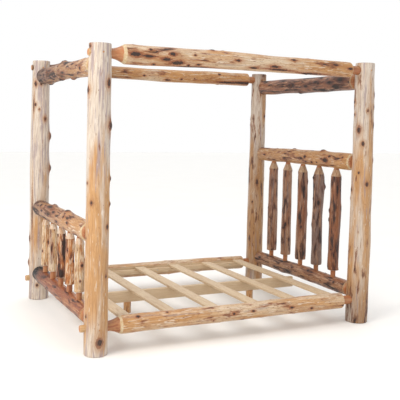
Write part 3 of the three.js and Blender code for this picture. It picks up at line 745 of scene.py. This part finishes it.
def railMortise(look, x, y, height, axis, into, through):
    # the seat for a rail's neck and the socket for its tenon; into is the side of the post that they open on
    seat = postRadiusAt(look, height) - joinery["seatDepth"]
    back = 2 * postRadiusAt(look, height) if through else joinery["pastAxis"] + joinery["gap"]
    along = Vector((1, 0, 0)) if axis == "x" else Vector((0, 1, 0))
    bores = (("socket", joinery["tenonRadius"] + joinery["gap"], -back, seat + 0.001),
             ("seat", joinery["neckRadius"] + joinery["seatRoom"], seat, seat + 3 * joinery["seatDepth"]))
    cutters = []
    for label, radius, *span in bores:
        low, high = sorted(into * edge for edge in span)
        start = Vector((x, y, height)) + along * low
        cutters.append(addRod(label, axis, start, radius, high - low, endGrain))
    return cutters


def pegHole(x, y, height):
    reach = 0.2                                     # well past the post on both sides
    radius = joinery["pegRadius"] + joinery["gap"]
    return addRod("pegHole", "x", (x - reach, y, height), radius, 2 * reach, endGrain, 24)


def makePost(end, side):
    look = postLooks[f"{end}_{side}"]
    x, y = postX[side], postY[end]
    inX = -outwardOf[side]
    inY = 1 if end == "foot" else -1
    cutters = []
    for height in (heights["canopySide"], heights["sideRail"]):
        cutters += railMortise(look, x, y, height, "y", inY, end == "foot")
        cutters.append(pegHole(x, y, height))
    cutters += railMortise(look, x, y, heights["canopyEnd"], "x", inX, False)
    for height in (boardTip[end].z, heights["boardBottom"]):
        cutters += railMortise(look, x, boardTip[end].y, height, "x", inX, False)
    makeLog(f"post_{end}_{side}", "z", (x, y, 0), postTop, look, skins["posts"], cutters=cutters)


for end in endNames:
    for side in sideNames:
        makePost(end, side)
print("posts made")


# Rails along Y face 0 degrees up and 90 towards +X; rails along X face 0 towards +Y and 90 up.
railLooks = {
    "canopy_side_rail_right": {
        "radii": (0.067, 0.059), "seed": 5, "strewn": 10, "bow": (0.006, 0.002), "lumps": 1.0,
        "tones": [(0, 0, 0, 0), (0.1, 0.0, 0, 0.03), (0.22, 0.05, 0, 0.05), (0.35, -0.05, 0, 0),
                  (0.6, -0.12, 0, -0.02), (0.75, 0.15, 0.02, 0.02), (1, 0.4, 0.10, 0.04)],
        "knots": [(0.31, 90, 0.018, 0.004, 2.6), (0.42, 55, 0.010, 0.004), (0.58, 77, 0.015, 0.005, 2.0),
                  (0.40, 96, 0.011, 0.001, 5.0), (0.53, 108, 0.014, 0.002, 3.0),
                  (0.62, 128, 0.020, 0.002, 3.0), (0.75, 165, 0.014, 0.002, 14),
                  (1.45, 135, 0.010, 0.001, 14), (1.75, 150, 0.012, 0.002, 12),
                  (0.75, 74, 0.008, 0.003), (0.90, 20, 0.014, 0.007), (0.45, 150, 0.012, 0.004),
                  (1.09, 92, 0.010, 0.003, 3.0), (1.23, 134, 0.010, 0.003, 4.0),
                  (1.40, 112, 0.011, 0.003, 4.0), (1.57, 55, 0.010, 0.003, 3.0),
                  (1.70, 155, 0.010, 0.007), (1.95, 68, 0.010, 0.003, 3.5),
                  (2.09, 87, 0.012, 0.004, 2.6)],
    },
    "canopy_side_rail_left": {
        "radii": (0.054, 0.062), "seed": 6, "strewn": 16, "bow": (-0.004, 0.003), "lumps": 1.0,
        # painted shade: the strong darkening at this rail's foot end stands for the shadow where it meets the
        # foot-left post
        "tones": [(0, 0.6, 0.75, 0.08), (0.22, 0.55, 0.62, 0.08), (0.36, 0.3, 0.24, 0.04),
                  (0.48, 0.05, 0.06, -0.02), (0.6, 0.3, 0.06, 0), (1, 0.5, 0.10, -0.02)],
        "knots": [(1.02, 104, 0.010, 0.003), (1.40, 118, 0.010, 0.004), (2.10, 128, 0.017, 0.002, 12),
                  (1.90, 132, 0.013, 0.001, 12), (0.35, 62, 0.009, 0.001, 14), (0.32, 98, 0.008, 0.001, 14),
                  (1.80, 60, 0.010, 0.006), (0.42, 165, 0.012, 0.006)],
    },
    "canopy_foot_rail": {
        "radii": (0.065, 0.063), "seed": 7, "strewn": 7, "bow": (0.003, 0.005), "lumps": 1.3,
        # painted shade: the strong darkening at this rail's left end stands for the shadow where it meets the
        # foot-left post
        "tones": [(0, 0.55, 1, 0.10), (0.13, 0.6, 0.8, 0.11), (0.24, 0.62, 0.52, 0.13),
                  (0.42, 0.6, 0.36, 0.13), (0.70, 0.45, 0.24, 0.10), (0.86, 0.1, 0.04, 0.03),
                  (1, -0.3, 0, -0.1)],
        "knots": [(0.82, -115, 0.020, 0.016), (1.07, -99, 0.018, 0.014), (0.34, -82, 0.022, 0.015),
                  (0.83, 100, 0.022, 0.016), (1.42, -170, 0.016, 0.003), (0.55, 165, 0.012, 0.002, 7.0),
                  (0.95, -160, 0.012, 0.002, 6.0), (1.20, 150, 0.010, 0.002, 5.0)],
    },
    "canopy_head_rail": {
        "radii": (0.068, 0.066), "seed": 8, "strewn": 14, "bow": (-0.003, -0.006), "lumps": 1.2,
        "tones": [(0, 0.2, 0.06, 0), (0.35, 0.15, 0.10, 0.02), (0.6, 0.1, 0.16, 0.05),
                  (0.82, 0.1, 0.14, 0.06), (0.9, 0, 0, 0), (1, 0, 0, 0)],
        "knots": [(1.45, 165, 0.026, 0.006, 1.8), (1.30, 178, 0.014, 0.003, 4.0), (0.81, -108, 0.018, 0.013),
                  (0.70, 177, 0.014, 0.003), (1.10, 165, 0.013, 0.003, 3.0), (0.95, -170, 0.012, 0.003, 3.0)],
    },
    "headboard_top_rail": {
        "radii": (0.064, 0.066), "seed": 9, "strewn": 12, "bow": (-0.002, 0.004), "lumps": 1.2,
        "tones": [(0, 0.2, 0.22, 0.08), (0.5, 0.2, 0.12, 0.06), (1, 0.15, 0.08, 0.02)],
        "knots": [(1.17, 100, 0.019, 0.017), (1.27, -176, 0.024, 0.004, 1.8), (1.07, -151, 0.012, 0.003),
                  (0.97, 170, 0.014, 0.004), (0.72, 95, 0.014, 0.009), (1.50, 150, 0.010, 0.003)],
    },
    "footboard_top_rail": {
        "radii": (0.064, 0.066), "seed": 10, "strewn": 6, "bow": (-0.003, 0.005), "lumps": 1.5,
        # painted shade: the strong darkening at this rail's left end stands for the shadow where it meets the
        # foot-left post
        "tones": [(0, 0.5, 0.7, 0.10), (0.14, 0.55, 0.5, 0.15), (0.26, 0.55, 0.24, 0.14),
                  (0.5, 0.5, 0.12, 0.12), (0.75, 0.25, 0, 0.08), (1, 0, 0, 0.03)],
        "knots": [(0.38, 135, 0.018, 0.006), (0.62, 120, 0.020, 0.003, 6.0), (0.80, 143, 0.018, 0.003, 3.0),
                  (1.12, 142, 0.014, 0.004), (1.06, 96, 0.022, 0.018, 1.8), (0.60, 78, 0.018, 0.012),
                  (0.46, 170, 0.012, 0.002, 4.0), (1.25, 165, 0.012, 0.003, 3.0),
                  (0.95, -170, 0.012, 0.002, 6.0)],
    },
    "footboard_bottom_rail": {
        "radii": (0.061, 0.058), "seed": 11, "strewn": 12, "bow": (0.0, -0.003), "lumps": 1.0,
        # painted shade: the near-black darkening at this rail's left end stands for the shadow where it meets
        # the foot-left post
        "tones": [(0, 0.1, 1, 0.2), (0.13, 0.1, 1, 0.17), (0.21, 0.15, 0.45, 0.07), (0.32, 0.15, 0.12, 0.0),
                  (1, 0.1, 0.05, 0)],
        "knots": [(1.25, -95, 0.014, 0.010)],
    },
    "headboard_bottom_rail": {
        "radii": (0.061, 0.058), "seed": 12, "strewn": 14, "bow": (0.0, 0.003), "lumps": 1.0,
    },
    "side_rail_right": {
        "radii": (0.063, 0.061), "seed": 13, "strewn": 18, "bow": (0.003, 0.003), "lumps": 1.0,
    },
    "side_rail_left": {
        "radii": (0.063, 0.061), "seed": 14, "strewn": 18, "bow": (0.003, -0.003), "lumps": 1.0,
    },
}


def railEnd(post, height, tip, shoulder):
    seat = postRadiusAt(postLooks[post], height) - joinery["seatDepth"]
    return {"tenon": joinery["tenonRadius"], "neck": joinery["neckRadius"], "shoulder": shoulder,
            "length": tip + seat + joinery["gap"]}


def makeLengthwiseRail(node, side, height, extraCutters=()):
    low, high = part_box(node)
    x, look = postX[side], railLooks[node]
    ends = (railEnd(f"foot_{side}", height, postY["foot"] - low.y, "hollow"),
            railEnd(f"head_{side}", height, high.y - postY["head"], f"square{side.title()}"))
    cutters = [pegHole(x, postY[end], height) for end in endNames] + list(extraCutters)
    makeLog(node, "y", (x, low.y, height), high.y - low.y, look, skins["rails"], ends, cutters)


def makeCrosswiseRail(node, end, height, skin, sockets=()):
    low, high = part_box(node)
    ends = (railEnd(f"{end}_left", height, postX["left"] - low.x, "round"),
            railEnd(f"{end}_right", height, high.x - postX["right"], "round"))
    y = tipOf(node, "x", True).y
    makeLog(node, "x", (low.x, y, height), high.x - low.x, railLooks[node], skins[skin], ends, sockets)


flatLook = {"from": 0.05, "to": 0.35}               # heights that clear the side rail below and above


def milledFlat(side):
    # the planer's flat on a side rail's inner face, as long as its ledger
    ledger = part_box(f"ledger_{side}")
    gap = joinery["gap"]
    inner = ledger[1].x + gap if side == "right" else ledger[0].x - gap
    near, far = sorted((inner, postX[side] * 0.5))
    low = Vector((near, ledger[0].y - gap, flatLook["from"]))
    high = Vector((far, ledger[1].y + gap, flatLook["to"]))
    solid = bmesh.new()
    bmesh.ops.create_cube(solid, size=1.0)
    bmesh.ops.scale(solid, vec=high - low, verts=solid.verts)
    bmesh.ops.translate(solid, vec=(low + high) / 2, verts=solid.verts)
    return addSolid("flat", solid, planedSpruce)


for side in sideNames:
    makeLengthwiseRail(f"canopy_side_rail_{side}", side, heights["canopySide"])
    makeLengthwiseRail(f"side_rail_{side}", side, heights["sideRail"], [milledFlat(side)])
makeCrosswiseRail("canopy_foot_rail", "foot", heights["canopyEnd"], "rails")
makeCrosswiseRail("canopy_head_rail", "head", heights["canopyEnd"], "headRails")
print("long rails made")


spindleLooks = {
    "foot": {"radii": (0.037, 0.034), "shoulders": ("spindleFoot", "footCone"), "lumps": 1.2, "facets": 4.0,
             "facetLength": 0.13, "strewn": 5, "firstSeed": 20, "step": ringStepFine, "knotScale": 0.8},
    "head": {"radii": (0.047, 0.044), "shoulders": ("spindleFoot", "headCone"), "lumps": 1.3, "facets": 2.2,
             "facetLength": 0.16, "strewn": 6, "firstSeed": 60, "step": ringStepFine, "knotScale": 1.0},
}
spindleMarks = {                                    # what sets single spindles apart
    "head_4": {"knots": [(0.86, -100, 0.014, 0.012), (0.78, 64, 0.015, 0.015), (0.93, 50, 0.011, 0.008)],
               "lumps": 1.6, "tones": [(0, -0.35, 0.12, 0), (1, -0.35, 0.12, 0)]},
    "head_5": {"knots": [(0.60, -112, 0.012, 0.010), (0.52, -116, 0.011, 0.008),
                         (0.79, -20, 0.010, 0.001, 7.0)],
               "tones": [(0, 0.3, 0, 0.02), (1, 0.3, 0, 0.02)]},
    "foot_1": {"tones": [(0, -0.1, 0, -0.06), (1, -0.1, 0, -0.06)]},
    "foot_2": {"tones": [(0, -0.2, 0, -0.02), (1, -0.2, 0, -0.02)]},
    "foot_3": {"twist": 1.6, "lumps": 1.8, "tones": [(0, 0.3, 0.05, 0.06), (1, 0.3, 0.1, 0.08)]},
    "foot_4": {"twist": -2.2, "lumps": 2.0, "tones": [(0, 0.2, 0, 0.04), (1, 0, 0, 0.02)]},
    "foot_5": {"tones": [(0, -0.05, 0.05, -0.06), (1, -0.15, 0.05, -0.08)]},
}
boardSkins = {"foot": ("rails", "redRails", "footSpindles"), "head": ("rails", "headRails", "headSpindles")}


def makeBoard(end):
    spindles = [f"{end}board_spindle_{i}" for i in range(1, 6)]
    boxes = [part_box(node) for node in spindles]
    feet = [tipOf(node, "z", False) for node in spindles]
    gap = joinery["gap"]
    radius, depth = joinery["spindleTenonRadius"] + gap, joinery["spindleTenonDepth"] + gap
    run = depth + 0.01                              # the cutters run out past the rails' skin
    upper = [addRod("socket", "z", (foot.x, foot.y, box[1].z + gap - run), radius, run, endGrain)
             for foot, box in zip(feet, boxes)]
    lower = [addRod("socket", "z", (foot.x, foot.y, box[0].z - gap), radius, run, endGrain)
             for foot, box in zip(feet, boxes)]
    topSkin, bottomSkin, spindleSkin = boardSkins[end]
    makeCrosswiseRail(f"{end}board_top_rail", end, boardTip[end].z, topSkin, upper)
    makeCrosswiseRail(f"{end}board_bottom_rail", end, heights["boardBottom"], bottomSkin, lower)
    look = spindleLooks[end]
    ends = [{"tenon": joinery["spindleTenonRadius"], "neck": joinery["spindleTenonRadius"],
             "length": joinery["spindleTenonDepth"], "shoulder": shoulder} for shoulder in look["shoulders"]]
    for i, (node, foot, (low, high)) in enumerate(zip(spindles, feet, boxes)):
        spec = {**look, "seed": look["firstSeed"] + 7 * i, "bow": (0.002 * (-1) ** i, 0.0015),
                **spindleMarks.get(f"{end}_{i + 1}", {})}
        makeLog(node, "z", (foot.x, foot.y, low.z), high.z - low.z, spec, skins[spindleSkin], ends)


for end in endNames:
    makeBoard(end)
print("headboard and footboard made")


plankLook = {"ease": 0.0025, "endEase": 0.001, "step": 0.03, "pinKnots": 3, "pinRadius": (0.004, 0.009)}


def makePlank(node, axis, pith, seed, cutters=()):
    # a planed board with eased edges; pith is where its tree's middle lies, across the board's section
    low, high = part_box(node)
    size, middle = high - low, (low + high) / 2
    first, second, third = acrossAxes[axis]
    solid = bmesh.new()
    bmesh.ops.create_cube(solid, size=1.0)
    bmesh.ops.scale(solid, vec=size, verts=solid.verts)
    longEdges = [e for e in solid.edges
                 if abs(e.verts[0].co[third] - e.verts[1].co[third]) > 0.5 * size[third]]
    bmesh.ops.bevel(solid, geom=longEdges, offset=plankLook["ease"], segments=3, profile=0.5, affect="EDGES")
    endEdges = [e for e in solid.edges if len(e.link_faces) == 2 and e.calc_face_angle() > 1.2]
    bmesh.ops.bevel(solid, geom=endEdges, offset=plankLook["endEase"], segments=2, profile=0.5,
                    affect="EDGES")
    cuts = int(size[third] / plankLook["step"])
    direction = Vector([float(i == third) for i in range(3)])
    for i in range(1, cuts):
        spot = direction * (size[third] * (i / cuts - 0.5))
        everything = solid.verts[:] + solid.edges[:] + solid.faces[:]
        bmesh.ops.bisect_plane(solid, geom=everything, plane_co=spot, plane_no=direction)
    bmesh.ops.translate(solid, vec=middle, verts=solid.verts)
    piece = addSolid(pieceName(node), solid, planedSpruce)
    cutAway(piece, cutters)
    points = pointsOf(piece.data) - np.array(middle)
    random = np.random.default_rng(seed)
    near = np.full(len(points), farFromKnots)
    for _ in range(plankLook["pinKnots"]):
        spot = random.uniform(-0.42, 0.42) * size[third]
        aside = random.uniform(-0.4, 0.4) * size[first]
        radius = random.uniform(*plankLook["pinRadius"])
        share = np.hypot((points[:, first] - aside) / radius, (points[:, third] - spot) / (1.4 * radius))
        near = np.minimum(near, share)
    place = points[:, [first, second, third]] + np.array([-pith[0], -pith[1], seed * 0.37])
    writeFields(piece.data, {"logPlace": place, "knotNear": near,
                             "rimNear": np.full(len(points), farFromRims)})
    finishPiece(piece, node, 30)


screwLook = {
    "head": 0.0055, "headHeight": 0.003, "shaft": 0.0025, "threadRoot": 0.0018, "plain": 0.02,
    "point": 0.007, "pitch": 0.0022, "recess": 0.0021, "recessDepth": 0.0018,
    "bore": 0.0029, "sink": 0.0059, "sinkDepth": 0.0034,
}


def ledgerHoles(side):
    # a clearance bore and a countersink for each screw
    outward, clear = outwardOf[side], 0.004
    cutters = []
    for i in range(1, 4):
        low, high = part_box(f"ledger_screw_{side}_{i}")
        middle = (low + high) / 2
        inner = low.x if side == "right" else high.x
        for radius, depth in ((screwLook["bore"], 0.2), (screwLook["sink"], screwLook["sinkDepth"])):
            near, far = sorted((inner - outward * clear, inner + outward * depth))
            start = (near, middle.y, middle.z)
            cutters.append(addRod("hole", "x", start, radius, far - near, planedSpruce, 24))
    return cutters


for side in sideNames:
    makePlank(f"ledger_{side}", "y", (0.03, 0.05), 3 + len(side), ledgerHoles(side))
for i, node in enumerate(sorted(node for node in frame["nodes"] if node.startswith("slat_"))):
    makePlank(node, "x", (0.012 * (i - 2), -0.035 - 0.008 * (i % 3)), 30 + i)
makePlank("centre_beam", "y", (0.06, 0.02), 50)
print("slats, ledgers and beam made")


def makeTurned(name, node, axis, origin, profile, material, sides, cutters=()):
    # a profile of (radius, place) turned about the axis; it starts and ends on the axis
    profile = np.array(profile, float)
    mesh = addRoundMesh(name, axis, origin, sides, profile, np.repeat(profile[1:-1, 0], sides))
    piece = addMesh(name, mesh, material)
    cutAway(piece, cutters)
    finishPiece(piece, node, 30)
    return piece


def turnWood(node, axis, origin, profile, material, sides, cutters=()):
    # a turned wooden piece, whose faces square to the axis are end grain
    name = pieceName(node)
    piece = makeTurned(name, node, axis, origin, profile, material, sides, cutters)
    length, radius = profile[-1][1], profile[len(profile) // 2][0]
    markWood(piece.data, origin, axis, {"seed": len(name)}, [], (-1.0, length + 1.0), length, radius)
    if endGrain.name not in piece.data.materials:
        piece.data.materials.append(endGrain)
    slot = piece.data.materials.find(endGrain.name)
    for face in piece.data.polygons:
        if abs(face.normal["xyz".index(axis)]) > 0.9:
            face.material_index = slot


def makeScrew(side, i):
    look, outward = screwLook, outwardOf[side]
    node = f"ledger_screw_{side}_{i}"
    low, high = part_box(node)
    middle = (low + high) / 2
    x = low.x if side == "right" else high.x
    length = high.x - low.x
    profile = [(0, 0), (look["head"] - 0.0003, 0), (look["head"], 0.0003),
               (look["shaft"] + 0.0002, look["headHeight"]), (look["shaft"], look["headHeight"] + 0.001),
               (look["shaft"], look["plain"])]
    place = look["plain"]
    while place < length - look["point"]:           # the thread, as close rings
        profile += [(look["threadRoot"], place + look["pitch"] * 0.35),
                    (look["threadRoot"], place + look["pitch"] * 0.6), (look["shaft"], place + look["pitch"])]
        place += look["pitch"]
    profile += [(look["shaft"] * 0.6, place + 0.002), (0, length)]
    profile = [(radius, outward * at) for radius, at in profile][::outward]
    clear = 0.001
    start = x - (clear if side == "right" else look["recessDepth"])
    star = addRod("recess", "x", (start, middle.y, middle.z), look["recess"], look["recessDepth"] + clear,
                  zincSteel, 6)
    makeTurned(pieceName(node), node, "x", (x, middle.y, middle.z), profile, zincSteel, 28, [star])


def makePeg(node):
    low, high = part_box(node)
    middle = (low + high) / 2
    length, radius = high.x - low.x, joinery["pegRadius"]
    half = [(0, 0), (radius * 0.5, 0), (radius - 0.0015, 0), (radius - 0.0004, 0.0004), (radius, 0.0015)]
    profile = half + [(radius, length * 0.5)] + [(size, length - place) for size, place in reversed(half)]
    turnWood(node, "x", (low.x, middle.y, middle.z), profile, skins["footSpindles"], 24)


legLook = {"radius": 0.030, "barrelBore": 0.0069, "barrelDepth": 0.0154, "studBore": 0.005,
           "studDepth": 0.042}


def makeCentreLeg(end):
    node = f"centre_leg_{end}"
    low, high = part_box(node)
    x, y = tipOf(f"levelling_glide_{end}", "z", False).xy
    length, radius, clear = high.z - low.z, legLook["radius"], 0.001
    half = [(0, 0), (radius * 0.6, 0), (radius - 0.002, 0), (radius - 0.0006, 0.0006), (radius, 0.002)]
    waist = [(radius * (1 + 0.01 * math.sin(step)), length * step / 9) for step in range(1, 9)]  # gouge waves
    profile = half + waist + [(size, length - place) for size, place in reversed(half)]
    cutters = [addRod(part, "z", (x, y, low.z - clear), legLook[part + "Bore"],
                      legLook[part + "Depth"] + clear, endGrain, 32) for part in ("barrel", "stud")]
    turnWood(node, "z", (x, y, low.z), profile, skins["rails"], 64, cutters)


insertLook = {"flange": 0.011, "flangeHeight": 0.0016, "ease": 0.0003, "barrel": 0.0065, "barbRoot": 0.0058,
              "barbPitch": 0.0022, "bore": 0.0043}


def makeInsert(end):
    look, node = insertLook, f"threaded_insert_{end}"
    low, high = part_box(node)
    x, y = tipOf(f"levelling_glide_{end}", "z", False).xy
    length, clear = high.z - low.z, 0.002
    flange, ease, top = look["flange"], look["ease"], look["flangeHeight"]
    profile = [(0, 0), (flange - ease, 0), (flange, ease), (flange, top - ease), (flange - ease, top),
               (look["barrel"], top)]
    place = top + 0.001
    while place < length - look["barbPitch"]:       # barbs that hold it in the leg
        profile += [(look["barbRoot"], place), (look["barrel"], place + 0.0016)]
        place += look["barbPitch"]
    profile += [(look["barbRoot"], length), (0, length)]
    bore = addRod("thread", "z", (x, y, low.z - clear), look["bore"], length + 2 * clear, zincSteel, 32)
    makeTurned(pieceName(node), node, "z", (x, y, low.z), profile, zincSteel, 40, [bore])


glideLook = {                                       # an M8 stud moulded into a round pad
    "pad": 0.017, "padHeight": 0.008, "stud": 0.004, "crest": 0.0039, "threadRoot": 0.0033, "pitch": 0.00125,
    "tip": 0.0030, "tipLength": 0.003,
}


def makeGlide(end):
    look, node = glideLook, f"levelling_glide_{end}"
    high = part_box(node)[1]
    x, y = tipOf(node, "z", False).xy
    radius, top, collar = look["pad"], look["padHeight"], look["padHeight"] + 0.0005
    pad = [(0, 0), (radius - 0.004, 0), (radius - 0.0016, 0.0004), (radius - 0.0003, 0.0016), (radius, 0.003),
           (radius, top - 0.003), (radius - 0.0008, top - 0.0016), (radius - 0.003, top - 0.0003),
           (radius - 0.006, top), (0, top)]
    makeTurned(f"glidePad{end.title()}", node, "z", (x, y, 0), pad, mouldedPad, 64)
    stud = [(0, top - 0.003), (look["stud"], top - 0.003), (look["stud"], collar)]
    place = collar
    while place < high.z - look["tipLength"]:
        stud += [(look["threadRoot"], place + 0.0006), (look["crest"], place + look["pitch"])]
        place += look["pitch"]
    stud += [(look["tip"], high.z - 0.0004), (0, high.z)]
    makeTurned(f"glideStud{end.title()}", node, "z", (x, y, 0), stud, zincSteel, 32)


for side in sideNames:
    for i in range(1, 4):
        makeScrew(side, i)
for node in sorted(frame["nodes"]):
    if "_peg_" in node:
        makePeg(node)
for end in endNames:
    makeCentreLeg(end)
    makeInsert(end)
    makeGlide(end)
print("pegs, legs, inserts, glides and screws made")


# Matte paper sweep: a nearly white floor with a faint wide mottle, half a millimetre under the sawn posts.
floorLook = {"name": "paperSweepMatte", "colours": ("#F3F2EF", "#F7F6F4"), "roughness": 0.9, "half": 30.0,
             "height": -0.0005, "mottle": (600, 600, 6.0, {"Detail": 3.0})}


def makeFloor():
    look = floorLook
    material, tree = newMaterial(look["name"])
    mottle = addPatterns(tree, addNode(tree, "TexCoord", {}, "Object"), {"mottle": look["mottle"]})["mottle"]
    below, above = look["colours"]
    colour = addNode(tree, "Mix", {"data_type": "RGBA", 0: mottle, 6: below, 7: above}, 2)
    shader = addNode(tree, "BsdfPrincipled", {"Base Color": colour, "Roughness": look["roughness"]})
    addNode(tree, "OutputMaterial", {"Surface": shader})
    half, height = look["half"], look["height"]
    mesh = bpy.data.meshes.new("floor")
    corners = [(x * half, y * half, height) for x, y in ((-1, -1), (1, -1), (1, 1), (-1, 1))]
    mesh.from_pydata(corners, [], [(0, 1, 2, 3)])
    addMesh("floor", mesh, material)


lampLooks = {                                       # two soft boxes, and a diffused bank on the ceiling
    "keySoftbox": {"place": (3.0, -5.8, 4.4), "aim": (0, 0, 1), "size": 3, "power": 270, "colour": "#FFF8EE"},
    "fillSoftbox": {"place": (6.5, 3.0, 2.6), "aim": (0, 0, 1), "size": 4, "power": 40, "colour": "#F4F7FF"},
    "overheadBank": {"place": (0, 0, 5), "aim": (0, 0, 0), "spread": 60, "power": 1.25, "colour": "#FFFFFF"},
}
studioLook = {"backdrop": 1.0, "room": 0.60, "from": 0.25, "to": 0.70,
              "facing": (-0.90, 0.44, 0.0)}         # the lit wall stands behind the bed's far side


def makeLamps():
    for name, look in lampLooks.items():
        lamp = bpy.data.lights.new(name, "SUN" if "spread" in look else "AREA")
        lamp.energy = look["power"]
        lamp.color = hexToLinear(look["colour"])[:3]
        if "spread" in look:
            lamp.angle = math.radians(look["spread"])
        else:
            lamp.shape = "SQUARE"
            lamp.size = look["size"]
        holder = bpy.data.objects.new(name, lamp)
        holder.location = look["place"]
        aim = Vector(look["aim"]) - Vector(look["place"])
        holder.rotation_euler = aim.to_track_quat("-Z", "Y").to_euler()
        bpy.context.scene.collection.objects.link(holder)


def makeStudio():
    world = bpy.data.worlds.new("studio")
    world.use_nodes = True
    tree = world.node_tree
    tree.nodes.clear()
    direction = addNode(tree, "TexCoord", {}, "Generated")
    dot = {"operation": "DOT_PRODUCT", 0: direction, 1: studioLook["facing"]}
    towards = addNode(tree, "VectorMath", dot, "Value")
    strength = addNode(tree, "MapRange", {
        "interpolation_type": "SMOOTHSTEP", "Value": towards, "From Min": studioLook["from"],
        "From Max": studioLook["to"], "To Min": studioLook["room"], "To Max": studioLook["backdrop"]})
    backdrop = addNode(tree, "Background", {"Color": "#FFFFFF", "Strength": strength})
    addNode(tree, "OutputWorld", {"Surface": backdrop})
    bpy.context.scene.world = world
    bpy.context.scene.view_settings.view_transform = "Standard"


cameraLook = {"place": (5.287, -2.5275, 1.560), "heading": 63.84, "pitch": -3.0, "roll": 1.36,
              "lens": 62.97, "sensor": 36, "shift": -0.0965}


def makeCamera():
    heading, pitch, roll = (math.radians(cameraLook[key]) for key in ("heading", "pitch", "roll"))
    ahead = Vector((-math.sin(heading), math.cos(heading), 0))
    forward = ahead * math.cos(pitch) + Vector((0, 0, math.sin(pitch)))
    level = Vector((math.cos(heading), math.sin(heading), 0))
    upright = level.cross(forward)
    right = math.cos(roll) * level + math.sin(roll) * upright
    up = math.cos(roll) * upright - math.sin(roll) * level
    lens = bpy.data.cameras.new("camera")
    lens.lens = cameraLook["lens"]
    lens.sensor_width = cameraLook["sensor"]
    lens.shift_y = cameraLook["shift"]
    camera = bpy.data.objects.new("camera", lens)
    camera.matrix_world = (Matrix.Translation(cameraLook["place"])
                           @ Matrix((right, up, -forward)).transposed().to_4x4())
    bpy.context.scene.collection.objects.link(camera)
    bpy.context.scene.camera = camera


makeFloor()
makeLamps()
makeStudio()
makeCamera()
print("floor, lamps and camera made")

bpy.context.view_layer.update()
